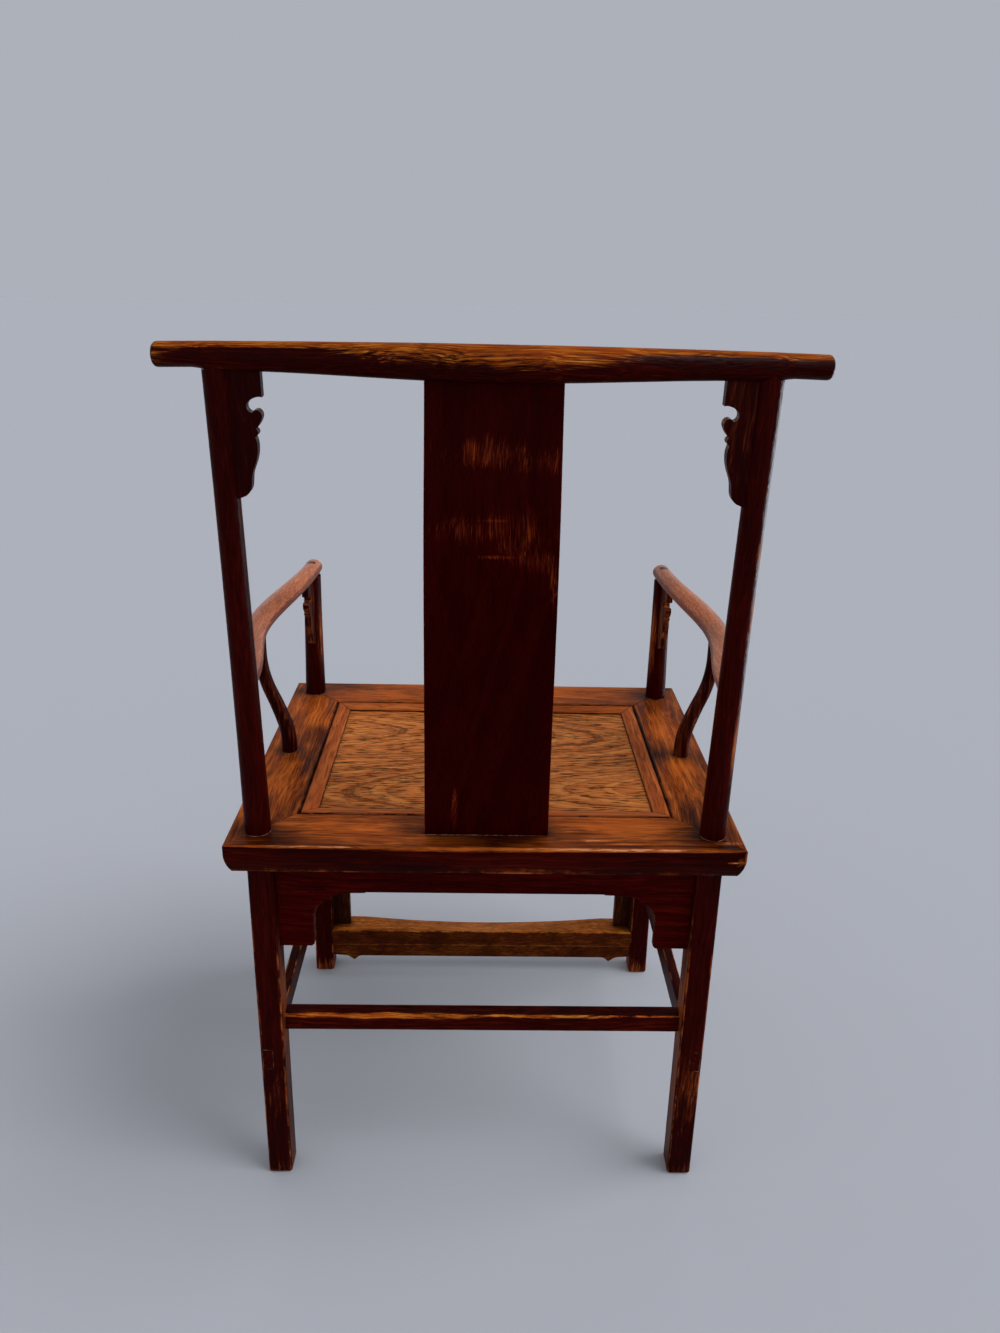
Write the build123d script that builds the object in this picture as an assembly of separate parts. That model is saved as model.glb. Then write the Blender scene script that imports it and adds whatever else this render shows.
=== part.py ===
from build123d import *
import math
import os

# Official hat armchair: four legs that run up through a mitred seat frame, a yoke-shaped top
# rail, a bowed splat, serpentine arms on curved middle posts, carved spandrels, and aprons,
# brackets and stretchers below the seat. All joints are mortise and tenon or housed.
#
# Millimetres. X runs across the chair, +X on the sitter's left. The chair faces -Y. Z is up
# from the floor. While it is built, X = 0 and Y = 0 are the middle of the seat.

# ---------------------------------------------------------------- driving dimensions
# Seat frame
SEAT_WIDTH = 590.0
SEAT_DEPTH = 492.0
SEAT_HEIGHT = 500.0
SEAT_THICKNESS = 37.0
SIDE_RAIL_WIDTH = 72.5          # visible width of the left and right rails
END_RAIL_WIDTH = 75.5           # visible width of the front and rear rails
EDGE_BAND = 14.0                # upright band at the top of the moulded edge
EDGE_TUCK = 7.0                 # how far the lower edge draws in
EDGE_ROUND = 2.0
ARRIS = 1.2                     # small chamfer along the seat groove
LEDGE = 12.0                    # step inside the frame that carries the panel
FRAME_TENON_WIDTH = 17.0
FRAME_TENON_THICKNESS = 12.0
FRAME_TENON_DROP = 12.0         # from the seat's top to the tenon's top
FRAME_TENON_INSET = 4.0         # from the rail's inner edge to the tenon

# Panel, the strips that frame it and the battens below it
PANEL_THICKNESS = 10.0
PANEL_PLAY = 0.4                # room round the panel for the wood to move
BOARD_JOINT_Y = 18.0            # joint between the two boards, behind the seat's middle
TONGUE_LENGTH = 4.0
TONGUE_THICKNESS = 3.4
STRIP_WIDTH = 20.0
STRIP_THICKNESS = 6.0
STRIP_FALL = 4.2                # the strip slopes down towards the panel
STRIP_FLAT = 5.0                # level part of the strip before the slope
BRACE_X = 80.0
BRACE_WIDTH = 30.0
BRACE_DEPTH = 18.0
BRACE_TENON_LENGTH = 10.0
BRACE_TENON_WIDTH = 18.0
BRACE_TENON_THICKNESS = 10.0
BRACE_KEY_TOP = 16.0            # sliding dovetail between batten and panel
BRACE_KEY_NECK = 11.0
BRACE_KEY_HEIGHT = 4.0

# Legs and the posts above them, one piece each
POST_SPREAD = 262.0             # centre line of the posts, from the middle
REAR_POST_INSET = 35.5          # from the rear edge of the seat to the post's centre
FRONT_POST_INSET = 37.0
LEG_WIDTH = 30.5                # below the seat the leg is squared
LEG_DEPTH = 35.0
FOOT_WIDTH = 30.0
FOOT_DEPTH = 34.0
LEG_CORNER = 4.0
LEG_INSET = 2.0                 # the squared leg's centre lies this much inside the post's
FOOT_WEAR = 2.5
REAR_SPLAY_SIDE = 1.0           # the rear feet stand this much wider
REAR_SPLAY_BACK = 4.0           # and this much further back
FRONT_SPLAY_SIDE = 5.0
FRONT_SPLAY_BACK = 4.0
POST_BASE_DIAMETER = 30.0
POST_TOP_DIAMETER = 25.5
POST_LEAN = 29.0                # how far back the rear post's top is carried
POST_LEAN_CURVE = 1.35
POST_TENON_DIAMETER = 14.0
POST_TENON_LENGTH = 16.0
POST_COPE = 6.0                 # how far the post's end is scribed up round the rail
REAR_POST_DRIFT = 1.0           # the rear post's top stands this much further out
FRONT_POST_DRIFT = 2.5          # the front post's top stands this much further in
ARM_SADDLE = 3.0                # how far the arm is let down into the front post
ARM_PIN_SIZE = 11.0             # square tenon that shows on top of the arm

# Top rail
RAIL_LENGTH = 640.0
RAIL_CREST = 1038.5             # highest line of the rail, over the floor
RAIL_CREST_FALL = 2.5           # the crest falls this much from the middle to the shoulders
RAIL_MIDDLE_HEIGHT = 35.0
RAIL_MIDDLE_DEPTH = 36.0
RAIL_SHOULDER_HEIGHT = 26.5
RAIL_SHOULDER_DEPTH = 28.0
RAIL_SHOULDER_REACH = 13.5      # the thick part ends this far past the post's centre
RAIL_SHOULDER_ROUND = 3.5
RAIL_CORNER_SHARE = 0.38        # corner radius as a share of the rail's height
RAIL_END_HEIGHT = 23.5
RAIL_END_DEPTH = 24.5
RAIL_END_DROP = 3.5             # the ends lie this much lower than the crest
RAIL_END_ROUND = 5.0
RAIL_END_ROOT = 30.0            # how deep the round end starts inside the thick part
RAIL_BOW = 4.0                  # the middle stands back from the ends

# Splat
SPLAT_BASE_WIDTH = 142.0
SPLAT_TOP_WIDTH = 133.0
SPLAT_THICKNESS = 13.0
SPLAT_BULGE = 16.5              # how far the back bows out behind the straight line
SPLAT_BULGE_PEAK = 0.64         # where it does, as a share of the splat's height
SPLAT_TENON_LENGTH = 8.0
SPLAT_TENON_THICKNESS = 8.0
SPLAT_TENON_MARGIN = 10.0       # the tenon is this much narrower at each side

# Arms
ARM_FRONT_WIDTH = 25.0
ARM_FRONT_HEIGHT = 22.0
ARM_MIDDLE_WIDTH = 31.0
ARM_MIDDLE_HEIGHT = 23.0
ARM_REAR_WIDTH = 18.0
ARM_REAR_HEIGHT = 19.0
ARM_LEVEL_FRONT = 694.0         # centre line over the floor
ARM_LEVEL_REAR = 675.0
ARM_FALL_MIDDLE = 0.60          # share of the fall reached at the arm's middle
ARM_SWELL = 30.0                # the arm's middle stands this much wider than the posts
ARM_KNOB_REACH = 25.0           # the knob's tip past the front post's centre
ARM_KNOB_ROUND = 8.5
ARM_TAIL_DIAMETER = 11.0
ARM_TAIL_LENGTH = 9.0

# Middle posts
MIDDLE_POST_SPREAD = 264.0
MIDDLE_POST_OUTWARD = 2.0       # its top stands this much outside the arm's centre line
MIDDLE_POST_Y = -1.5
MIDDLE_POST_BASE_DIAMETER = 21.5
MIDDLE_POST_TOP_DIAMETER = 14.5
MIDDLE_PIN_DIAMETER = 9.0
MIDDLE_PIN_LENGTH = 8.0
MIDDLE_FOOT_DIAMETER = 12.0
MIDDLE_FOOT_LENGTH = 14.0

# Carved spandrels under the top rail and under the arms
TOP_SPANDREL_DROP = 122.0
TOP_SPANDREL_WIDTH = 30.0       # clear of the post
TOP_SPANDREL_THICKNESS = 11.0
ARM_SPANDREL_DROP = 100.0
ARM_SPANDREL_WIDTH = 30.0
ARM_SPANDREL_THICKNESS = 9.0

# Aprons and brackets round the back and sides
APRON_HEIGHT = 42.0
APRON_THICKNESS = 11.0
APRON_SETBACK = 9.0             # behind the outer face of the legs
APRON_HOUSING = 6.0             # let into the legs at each end
BRACKET_DROP = 76.0
BRACKET_FOOT_WIDTH = 41.5
BRACKET_REACH = 104.0
BRACKET_TIP = 1.6
BRACKET_CURVE_DROP = 38.0
BRACKET_THICKNESS = 9.0
BRACKET_CHAMFER = 3.0

# Front: three-sided apron that stands on the footrest
FRONT_APRON_MARGIN = 23.0       # width of its upright boards
FRONT_APRON_CENTRE = 33.0       # depth at the raised point in the middle
FRONT_APRON_LOBE = 45.0         # depth of the lobes on each side
FRONT_APRON_CORNER = 56.0       # depth at the mitred corner
FRONT_APRON_SHOULDER = 104.0    # depth where the curve meets the upright board
FRONT_APRON_THICKNESS = 11.0
FRONT_APRON_SETBACK = 8.0

# Stretchers
REAR_STRETCHER_TOP = 241.5
REAR_STRETCHER_HEIGHT = 24.5
REAR_STRETCHER_DEPTH = 20.5
REAR_STRETCHER_SETBACK = 13.0
SIDE_STRETCHER_TOP = 200.5
SIDE_STRETCHER_HEIGHT = 33.0
SIDE_STRETCHER_WIDTH = 13.5
SIDE_STRETCHER_SETBACK = 2.0
SIDE_TENON_WIDTH = 12.5         # shows on the back of the rear legs
SIDE_TENON_MARGIN = 2.0         # shoulder above and below it
STRETCHER_TENON_WIDTH = 12.0
STRETCHER_TENON_LENGTH = 14.0
STRETCHER_TENON_MARGIN = 5.0    # shoulder above and below the other tenons
STRETCHER_ROUND = 3.0
FOOTREST_TOP = 79.5
FOOTREST_HEIGHT = 30.0
FOOTREST_NOSE = 6.0             # front of the footrest past the legs' top
FOOTREST_DEPTH = 42.5
FOOTREST_ROUND = 4.0
FOOTREST_WEAR = 12.0            # hollow that feet have worn into the front edge
FOOTREST_WEAR_LENGTH = 440.0
FOOTREST_TENON_DEPTH = 16.0
FOOTREST_APRON_HEIGHT = 22.5
FOOTREST_APRON_THICKNESS = 10.0
FOOTREST_APRON_SETBACK = 2.0    # behind the footrest's rear face
FOOTREST_POINT = 8.0            # small points on its lower edge
FOOTREST_POINT_X = 215.0
FOOTREST_POINT_WIDTH = 26.0

# ---------------------------------------------------------------- derived levels and lines
SEAT_BOTTOM = SEAT_HEIGHT - SEAT_THICKNESS
PANEL_TOP = SEAT_HEIGHT - STRIP_THICKNESS
LEDGE_TOP = PANEL_TOP - PANEL_THICKNESS
OPENING_X = SEAT_WIDTH / 2 - SIDE_RAIL_WIDTH      # inner edge of the frame, at the top
OPENING_Y = SEAT_DEPTH / 2 - END_RAIL_WIDTH
REAR_POST_Y = SEAT_DEPTH / 2 - REAR_POST_INSET
FRONT_POST_Y = -SEAT_DEPTH / 2 + FRONT_POST_INSET
LEG_SPREAD = POST_SPREAD - LEG_INSET
LEG_INNER_X = LEG_SPREAD - LEG_WIDTH / 2
LEG_OUTER_X = LEG_SPREAD + LEG_WIDTH / 2
REAR_LEG_Y = REAR_POST_Y + (POST_BASE_DIAMETER - LEG_DEPTH) / 2     # flush with the post behind
FRONT_LEG_Y = FRONT_POST_Y - (POST_BASE_DIAMETER - LEG_DEPTH) / 2   # flush with it in front
RAIL_UNDERSIDE = RAIL_CREST - RAIL_CREST_FALL - RAIL_SHOULDER_HEIGHT
RAIL_CENTRE_Y = REAR_POST_Y + POST_LEAN
REAR_POST_TOP_X = POST_SPREAD + REAR_POST_DRIFT
FRONT_POST_TOP_X = POST_SPREAD - FRONT_POST_DRIFT
MIDDLE_POST_TOP_X = POST_SPREAD - FRONT_POST_DRIFT / 2 + ARM_SWELL + MIDDLE_POST_OUTWARD
MIDDLE_POST_TOP = ARM_LEVEL_FRONT + (ARM_LEVEL_REAR - ARM_LEVEL_FRONT) * ARM_FALL_MIDDLE
FOOTREST_BOTTOM = FOOTREST_TOP - FOOTREST_HEIGHT
FOOTREST_REAR_Y = FRONT_LEG_Y - LEG_DEPTH / 2 - FOOTREST_NOSE + FOOTREST_DEPTH
APRON_BOTTOM = SEAT_BOTTOM - APRON_HEIGHT


# ---------------------------------------------------------------- helpers
def mix(a, b, t):
    return a + (b - a) * t


def slab(x_size, y_size, z_size, x, y, z):
    """A box given by its size and its centre."""
    return Pos(x, y, z) * Box(x_size, y_size, z_size)


def span_box(x0, x1, y0, y1, z0, z1):
    """A box between two corners."""
    return slab(x1 - x0, y1 - y0, z1 - z0, (x0 + x1) / 2, (y0 + y1) / 2, (z0 + z1) / 2)


def other_side(shape):
    """The same piece on the other side of the chair."""
    return mirror(shape, about=Plane.YZ)


def board(face, thickness):
    """A flat board: an outline thickened evenly to both sides."""
    return extrude(face, amount=thickness / 2, both=True)


def join(member, tenon, host):
    """Shoulder a member against its host and let its tenon in. Returns both."""
    return (member - host) + (tenon & host), host - tenon


# ---------------------------------------------------------------- seat frame
def seat_rail_profile(width):
    """Moulded edge outside, rabbet for panel and strips inside.

    Across is the distance in from the outer edge, up is measured from the seat's top.
    """
    rabbet = STRIP_THICKNESS + PANEL_THICKNESS
    inside = Polyline(
        (EDGE_TUCK, -SEAT_THICKNESS),
        (width + LEDGE, -SEAT_THICKNESS),
        (width + LEDGE, -rabbet),
        (width, -rabbet),
        (width, -ARRIS),
        (width - ARRIS, 0),
        (EDGE_ROUND, 0),
    )
    corner = EDGE_ROUND * (1 - math.sqrt(0.5))
    round_over = ThreePointArc((EDGE_ROUND, 0), (corner, -corner), (0, -EDGE_ROUND))
    band = Line((0, -EDGE_ROUND), (0, -EDGE_BAND))
    cove = ThreePointArc(
        (0, -EDGE_BAND),
        (EDGE_TUCK * 0.3, -mix(EDGE_BAND, SEAT_THICKNESS, 0.5)),
        (EDGE_TUCK, -SEAT_THICKNESS),
    )
    return make_face(inside + round_over + band + cove)


def mitred_bar(profile, half_length, half_depth, mitre_x, mitre_y, low, high):
    """A profile run along X at the front of a rectangle, its ends cut along the mitres.

    The mitres run in from the outer corners by mitre_x along the bar and mitre_y across it.
    """
    section = Plane(origin=(-half_length, -half_depth, SEAT_HEIGHT), x_dir=(0, 1, 0), z_dir=(1, 0, 0))
    bar = extrude(section * profile, amount=2 * half_length)
    wedge = Polyline(
        (-half_length, -half_depth),
        (half_length, -half_depth),
        (half_length - mitre_x, -half_depth + mitre_y),
        (-half_length + mitre_x, -half_depth + mitre_y),
        close=True,
    )
    return bar & (Pos(0, 0, low) * extrude(make_face(wedge), amount=high - low))


def seat_frame():
    """Four rails, mitred at the corners, with tenons that run through the side rails."""
    reach = 1 + 1.2 * LEDGE / min(SIDE_RAIL_WIDTH, END_RAIL_WIDTH)
    across = SIDE_RAIL_WIDTH * reach
    back = END_RAIL_WIDTH * reach
    front = mitred_bar(
        seat_rail_profile(END_RAIL_WIDTH),
        SEAT_WIDTH / 2,
        SEAT_DEPTH / 2,
        across,
        back,
        SEAT_BOTTOM,
        SEAT_HEIGHT,
    )
    right = Rot(0, 0, -90) * mitred_bar(
        seat_rail_profile(SIDE_RAIL_WIDTH),
        SEAT_DEPTH / 2,
        SEAT_WIDTH / 2,
        back,
        across,
        SEAT_BOTTOM,
        SEAT_HEIGHT,
    )
    rear = Rot(0, 0, 180) * front
    left = Rot(0, 0, 180) * right
    tenon_y = OPENING_Y + FRAME_TENON_INSET + FRAME_TENON_WIDTH / 2
    tenon_z = SEAT_HEIGHT - FRAME_TENON_DROP - FRAME_TENON_THICKNESS / 2
    for y in (-tenon_y, tenon_y):
        tenon = slab(2 * SEAT_WIDTH, FRAME_TENON_WIDTH, FRAME_TENON_THICKNESS, 0, y, tenon_z)
        ends = (tenon & left) + (tenon & right)
        left = left - tenon
        right = right - tenon
        if y < 0:
            front = front + ends
        else:
            rear = rear + ends
    return front, rear, left, right


# ---------------------------------------------------------------- panel, strips and battens
def strip_profile():
    """Pressing strip: level by the frame, then falling towards the panel."""
    body = Polyline(
        (STRIP_WIDTH, -STRIP_FALL),
        (STRIP_WIDTH, -STRIP_THICKNESS),
        (0, -STRIP_THICKNESS),
        (0, -ARRIS),
        (ARRIS, 0),
        (STRIP_FLAT, 0),
    )
    slope = ThreePointArc(
        (STRIP_FLAT, 0),
        (mix(STRIP_FLAT, STRIP_WIDTH, 0.5), -STRIP_FALL * 0.36),
        (STRIP_WIDTH, -STRIP_FALL),
    )
    return make_face(body + slope)


def seat_strips():
    """Four strips mitred at 45 degrees, laid on the panel's margin."""
    half_x = OPENING_X - PANEL_PLAY
    half_y = OPENING_Y - PANEL_PLAY
    profile = strip_profile()
    front = mitred_bar(profile, half_x, half_y, STRIP_WIDTH, STRIP_WIDTH, PANEL_TOP, SEAT_HEIGHT)
    side = mitred_bar(profile, half_y, half_x, STRIP_WIDTH, STRIP_WIDTH, PANEL_TOP, SEAT_HEIGHT)
    right = Rot(0, 0, -90) * side
    return front, Rot(0, 0, 180) * front, Rot(0, 0, 180) * right, right


def brace_key(x, half_length):
    """Sliding dovetail along the top of a batten."""
    neck = BRACE_KEY_NECK / 2
    top = BRACE_KEY_TOP / 2
    section = Plane(origin=(x, half_length, LEDGE_TOP), x_dir=(1, 0, 0), z_dir=(0, -1, 0))
    outline = Polyline((-neck, 0), (neck, 0), (top, BRACE_KEY_HEIGHT), (-top, BRACE_KEY_HEIGHT), close=True)
    return extrude(section * make_face(outline), amount=2 * half_length)


def brace_parts(x):
    """A batten under the panel, and the tenon that runs from rail to rail inside it."""
    inner = OPENING_Y - LEDGE
    z = LEDGE_TOP - BRACE_DEPTH / 2
    body = slab(BRACE_WIDTH, 2 * inner, BRACE_DEPTH, x, 0, z) + brace_key(x, inner)
    length = 2 * (inner + BRACE_TENON_LENGTH)
    tenon = slab(BRACE_TENON_WIDTH, length, BRACE_TENON_THICKNESS, x, 0, z)
    return body, tenon


def panel_boards():
    """Two boards along X, tongued together and held flat by the battens' dovetails."""
    half_x = OPENING_X - PANEL_PLAY
    half_y = OPENING_Y - PANEL_PLAY
    front = span_box(-half_x, half_x, -half_y, BOARD_JOINT_Y, LEDGE_TOP, PANEL_TOP)
    rear = span_box(-half_x, half_x, BOARD_JOINT_Y, half_y, LEDGE_TOP, PANEL_TOP)
    tongue_z = mix(LEDGE_TOP + BRACE_KEY_HEIGHT, PANEL_TOP, 0.5)
    tongue = slab(
        2 * half_x, TONGUE_LENGTH, TONGUE_THICKNESS, 0, BOARD_JOINT_Y + TONGUE_LENGTH / 2, tongue_z
    )
    front = front + tongue
    rear = rear - tongue
    for x in (BRACE_X, -BRACE_X):
        key = brace_key(x, half_y + 1)
        front = front - key
        rear = rear - key
    return front, rear


# ---------------------------------------------------------------- legs and posts
def leg_below_seat(leg_y, splay_side, splay_back):
    """Squared leg from foot to seat frame, tapering and spreading a little downwards."""
    foot = Pos(LEG_SPREAD + splay_side, leg_y + splay_back, 0) * RectangleRounded(
        FOOT_WIDTH, FOOT_DEPTH, LEG_CORNER
    )
    top = Pos(LEG_SPREAD, leg_y, SEAT_BOTTOM) * RectangleRounded(LEG_WIDTH, LEG_DEPTH, LEG_CORNER)
    leg = loft([foot, top])
    sole = leg.faces().sort_by(Axis.Z)[0]
    return chamfer(sole.edges(), FOOT_WEAR)


def neck(post_y):
    """The round part that passes through the seat frame."""
    middle = SEAT_HEIGHT - SEAT_THICKNESS / 2
    return Pos(POST_SPREAD, post_y, middle) * Cylinder(POST_BASE_DIAMETER / 2, SEAT_THICKNESS)


def round_post(centre, z_end):
    """Tapering round post from the seat's top to z_end: it thins fast at first, then slowly.

    centre(t) gives the middle of the post at a share t of its height.
    """
    sections = []
    steps = 5
    for i in range(steps + 1):
        t = i / steps
        x, y = centre(t)
        diameter = POST_TOP_DIAMETER + (POST_BASE_DIAMETER - POST_TOP_DIAMETER) * (1 - t) ** 2
        sections.append(Pos(x, y, mix(SEAT_HEIGHT, z_end, t)) * Circle(diameter / 2))
    return loft(sections)


def rear_post_centre(t):
    return POST_SPREAD + REAR_POST_DRIFT * t, REAR_POST_Y + POST_LEAN * t**POST_LEAN_CURVE


def front_post_centre(t):
    return POST_SPREAD - FRONT_POST_DRIFT * t, FRONT_POST_Y


def rear_post_y(level):
    """Where the rear post's centre line is at a level over the floor."""
    return rear_post_centre((level - SEAT_HEIGHT) / (RAIL_UNDERSIDE + POST_COPE - SEAT_HEIGHT))[1]


def rear_leg():
    """Left leg and back post in one, up to the underside of the top rail."""
    post = round_post(rear_post_centre, RAIL_UNDERSIDE + POST_COPE)
    return leg_below_seat(REAR_LEG_Y, REAR_SPLAY_SIDE, REAR_SPLAY_BACK) + neck(REAR_POST_Y) + post


def front_leg():
    """Left leg and arm post in one, up to the saddle under the arm."""
    post = round_post(front_post_centre, ARM_LEVEL_FRONT - ARM_FRONT_HEIGHT / 2 + ARM_SADDLE)
    return leg_below_seat(FRONT_LEG_Y, FRONT_SPLAY_SIDE, FRONT_SPLAY_BACK) + neck(FRONT_POST_Y) + post


# ---------------------------------------------------------------- top rail and splat
def rail_middle():
    """The thick part of the yoke: it swells towards the middle and bows back a little."""
    half = REAR_POST_TOP_X + RAIL_SHOULDER_REACH
    sections = []
    steps = 6
    for i in range(steps + 1):
        share = -1 + 2 * i / steps
        swell = 0.5 + 0.5 * math.cos(math.pi * share)
        height = mix(RAIL_SHOULDER_HEIGHT, RAIL_MIDDLE_HEIGHT, swell)
        depth = mix(RAIL_SHOULDER_DEPTH, RAIL_MIDDLE_DEPTH, swell)
        y = RAIL_CENTRE_Y + RAIL_BOW * (1 - share**2)
        z = RAIL_CREST - RAIL_CREST_FALL * share**2 - height / 2
        frame = Plane(origin=(half * share, y, z), x_dir=(0, 1, 0), z_dir=(1, 0, 0))
        sections.append(frame * RectangleRounded(depth, height, height * RAIL_CORNER_SHARE))
    middle = loft(sections)
    ends = middle.faces().sort_by(Axis.X)
    return fillet(ends[0].edges() + ends[-1].edges(), RAIL_SHOULDER_ROUND)


def rail_end():
    """The left round end, which stands out past the post."""
    root_x = REAR_POST_TOP_X + RAIL_SHOULDER_REACH - RAIL_END_ROOT
    root_z = RAIL_CREST - RAIL_CREST_FALL - RAIL_END_HEIGHT / 2
    tip_z = RAIL_CREST - RAIL_END_DROP - RAIL_END_HEIGHT / 2
    outline = Ellipse(RAIL_END_DEPTH / 2, RAIL_END_HEIGHT / 2)
    root = Plane(origin=(root_x, RAIL_CENTRE_Y, root_z), x_dir=(0, 1, 0), z_dir=(1, 0, 0))
    tip = Plane(origin=(RAIL_LENGTH / 2, RAIL_CENTRE_Y, tip_z), x_dir=(0, 1, 0), z_dir=(1, 0, 0))
    end = loft([root * outline, tip * outline])
    return fillet(end.faces().sort_by(Axis.X)[-1].edges(), RAIL_END_ROUND)


def top_rail():
    end = rail_end()
    return rail_middle() + end + other_side(end)


def splat_y(t):
    """Middle of the splat's thickness at a share t of its height."""
    peak = SPLAT_BULGE_PEAK
    warped = t / (2 * peak) if t < peak else 0.5 + (t - peak) / (2 * (1 - peak))
    return rear_post_centre(t)[1] + SPLAT_BULGE * math.sin(math.pi * warped) ** 2


def splat():
    """Tapered board, bowed in side view, from the seat up into the top rail."""
    top = RAIL_CREST - RAIL_MIDDLE_HEIGHT / 2
    half = SPLAT_THICKNESS / 2
    steps = 8
    levels = [(splat_y(i / steps), mix(SEAT_HEIGHT, top, i / steps)) for i in range(steps + 1)]
    rear_curve = Spline(*[(y + half, z) for y, z in levels])
    front_curve = Spline(*[(y - half, z) for y, z in levels])
    foot = Line(front_curve @ 0, rear_curve @ 0)
    head = Line(front_curve @ 1, rear_curve @ 1)
    side = make_face(Plane.YZ * (rear_curve + head + front_curve + foot))
    taper = Polyline(
        (-SPLAT_BASE_WIDTH / 2, SEAT_HEIGHT),
        (SPLAT_BASE_WIDTH / 2, SEAT_HEIGHT),
        (SPLAT_TOP_WIDTH / 2, top),
        (-SPLAT_TOP_WIDTH / 2, top),
        close=True,
    )
    return board(side, 2 * SPLAT_BASE_WIDTH) & board(Plane.XZ * make_face(taper), 2 * SEAT_DEPTH)


def splat_tenon(width, y, z):
    return slab(width - 2 * SPLAT_TENON_MARGIN, SPLAT_TENON_THICKNESS, 2 * SPLAT_TENON_LENGTH, 0, y, z)


# ---------------------------------------------------------------- arms and middle posts
def arm_line():
    """Centre line of the left arm, from the front post back into the rear post."""
    rear_y = rear_post_y(ARM_LEVEL_REAR)
    course = (
        # share of the way back, share of the swell, share of the fall
        (0.00, 0.00, 0.00),
        (0.12, 0.15, 0.06),
        (0.30, 0.58, 0.28),
        (0.50, 1.00, ARM_FALL_MIDDLE),
        (0.60, 0.93, 0.72),
        (0.72, 0.62, 0.85),
        (0.86, 0.24, 0.95),
        (1.00, 0.00, 1.00),
    )
    points = []
    for back, swell, fall in course:
        x = mix(FRONT_POST_TOP_X, POST_SPREAD, back) + ARM_SWELL * swell
        y = mix(FRONT_POST_Y, rear_y, back)
        points.append((x, y, mix(ARM_LEVEL_FRONT, ARM_LEVEL_REAR, fall)))
    return points


def arm():
    """Serpentine arm: round at the knob, broad and flattened in the middle, slim at the back."""
    points = arm_line()
    knob = (points[0][0], points[0][1] - ARM_KNOB_REACH, points[0][2])
    path = Spline(knob, *points)
    stations = (
        # share of the path, share of the way from front to middle width, and middle to rear
        (0.00, 0.0, 0.0),
        (0.05, 0.0, 0.0),
        (0.12, 0.15, 0.0),
        (0.28, 0.9, 0.0),
        (0.52, 1.0, 0.0),
        (0.74, 1.0, 0.5),
        (0.90, 1.0, 0.9),
        (1.00, 1.0, 1.0),
    )
    sections = []
    for share, broad, slim in stations:
        width = mix(mix(ARM_FRONT_WIDTH, ARM_MIDDLE_WIDTH, broad), ARM_REAR_WIDTH, slim)
        height = mix(mix(ARM_FRONT_HEIGHT, ARM_MIDDLE_HEIGHT, broad), ARM_REAR_HEIGHT, slim)
        tangent = path % share
        across = Vector(0, 0, 1).cross(tangent).normalized()
        frame = Plane(origin=path @ share, x_dir=across, z_dir=tangent)
        sections.append(frame * Ellipse(width / 2, height / 2))
    body = loft(sections)
    return fillet(body.faces().sort_by(Axis.Y)[0].edges(), ARM_KNOB_ROUND)


def middle_post():
    """Curved left post: upright from the seat, swinging out to the arm."""
    course = ((0.0, 0.0), (0.19, 0.08), (0.40, 0.50), (0.54, 0.83), (0.68, 1.02), (0.83, 1.06), (1.0, 1.0))
    points = []
    for up, out in course:
        x = mix(MIDDLE_POST_SPREAD, MIDDLE_POST_TOP_X, out)
        points.append((x, MIDDLE_POST_Y, mix(SEAT_HEIGHT, MIDDLE_POST_TOP, up)))
    path = Spline(*points, tangents=((0, 0, 1), (0, 0, 1)))
    sections = []
    steps = 6
    for i in range(steps + 1):
        t = i / steps
        diameter = mix(MIDDLE_POST_BASE_DIAMETER, MIDDLE_POST_TOP_DIAMETER, t**0.8)
        sections.append(Plane(origin=path @ t, z_dir=path % t) * Circle(diameter / 2))
    return loft(sections)


# ---------------------------------------------------------------- carved spandrels
def spandrel_face(width, drop, root):
    """Carved spandrel, with its straight sides carried a root's length behind rail and post.

    Across is measured out from the post, and down from the rail.
    """

    def curve(*shares):
        return Spline(*[(width * across, -drop * down) for across, down in shares])

    free_edge = Line((width, root), (width, -drop * 0.19))
    hook = curve((1.00, 0.19), (0.62, 0.212), (0.49, 0.257), (0.55, 0.298), (0.66, 0.308))
    lobe = curve((0.66, 0.308), (0.84, 0.288), (0.95, 0.315), (0.94, 0.36), (0.73, 0.434))
    nick = curve((0.73, 0.434), (0.80, 0.46), (0.70, 0.50))
    belly = curve((0.70, 0.50), (0.75, 0.585), (0.66, 0.70), (0.50, 0.81), (0.44, 0.91), (0.24, 0.975))
    toe = Polyline((width * 0.24, -drop * 0.975), (0, -drop), (-root, -drop), (-root, root), (width, root))
    return make_face(free_edge + hook + lobe + nick + belly + toe)


def top_spandrel():
    """Carved board in the corner between the left post and the top rail."""
    level = RAIL_UNDERSIDE - TOP_SPANDREL_DROP / 2
    rise = TOP_SPANDREL_DROP / 2
    lean = math.atan2(rear_post_y(level + rise) - rear_post_y(level - rise), 2 * rise)
    plane = Plane(
        origin=(REAR_POST_TOP_X - POST_TOP_DIAMETER / 2, rear_post_y(RAIL_UNDERSIDE), RAIL_UNDERSIDE),
        x_dir=(-1, 0, 0),
        z_dir=(0, math.cos(lean), -math.sin(lean)),
    )
    face = spandrel_face(TOP_SPANDREL_WIDTH, TOP_SPANDREL_DROP, RAIL_CORNER_SHARE * RAIL_SHOULDER_HEIGHT)
    return board(plane * face, TOP_SPANDREL_THICKNESS)


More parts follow.
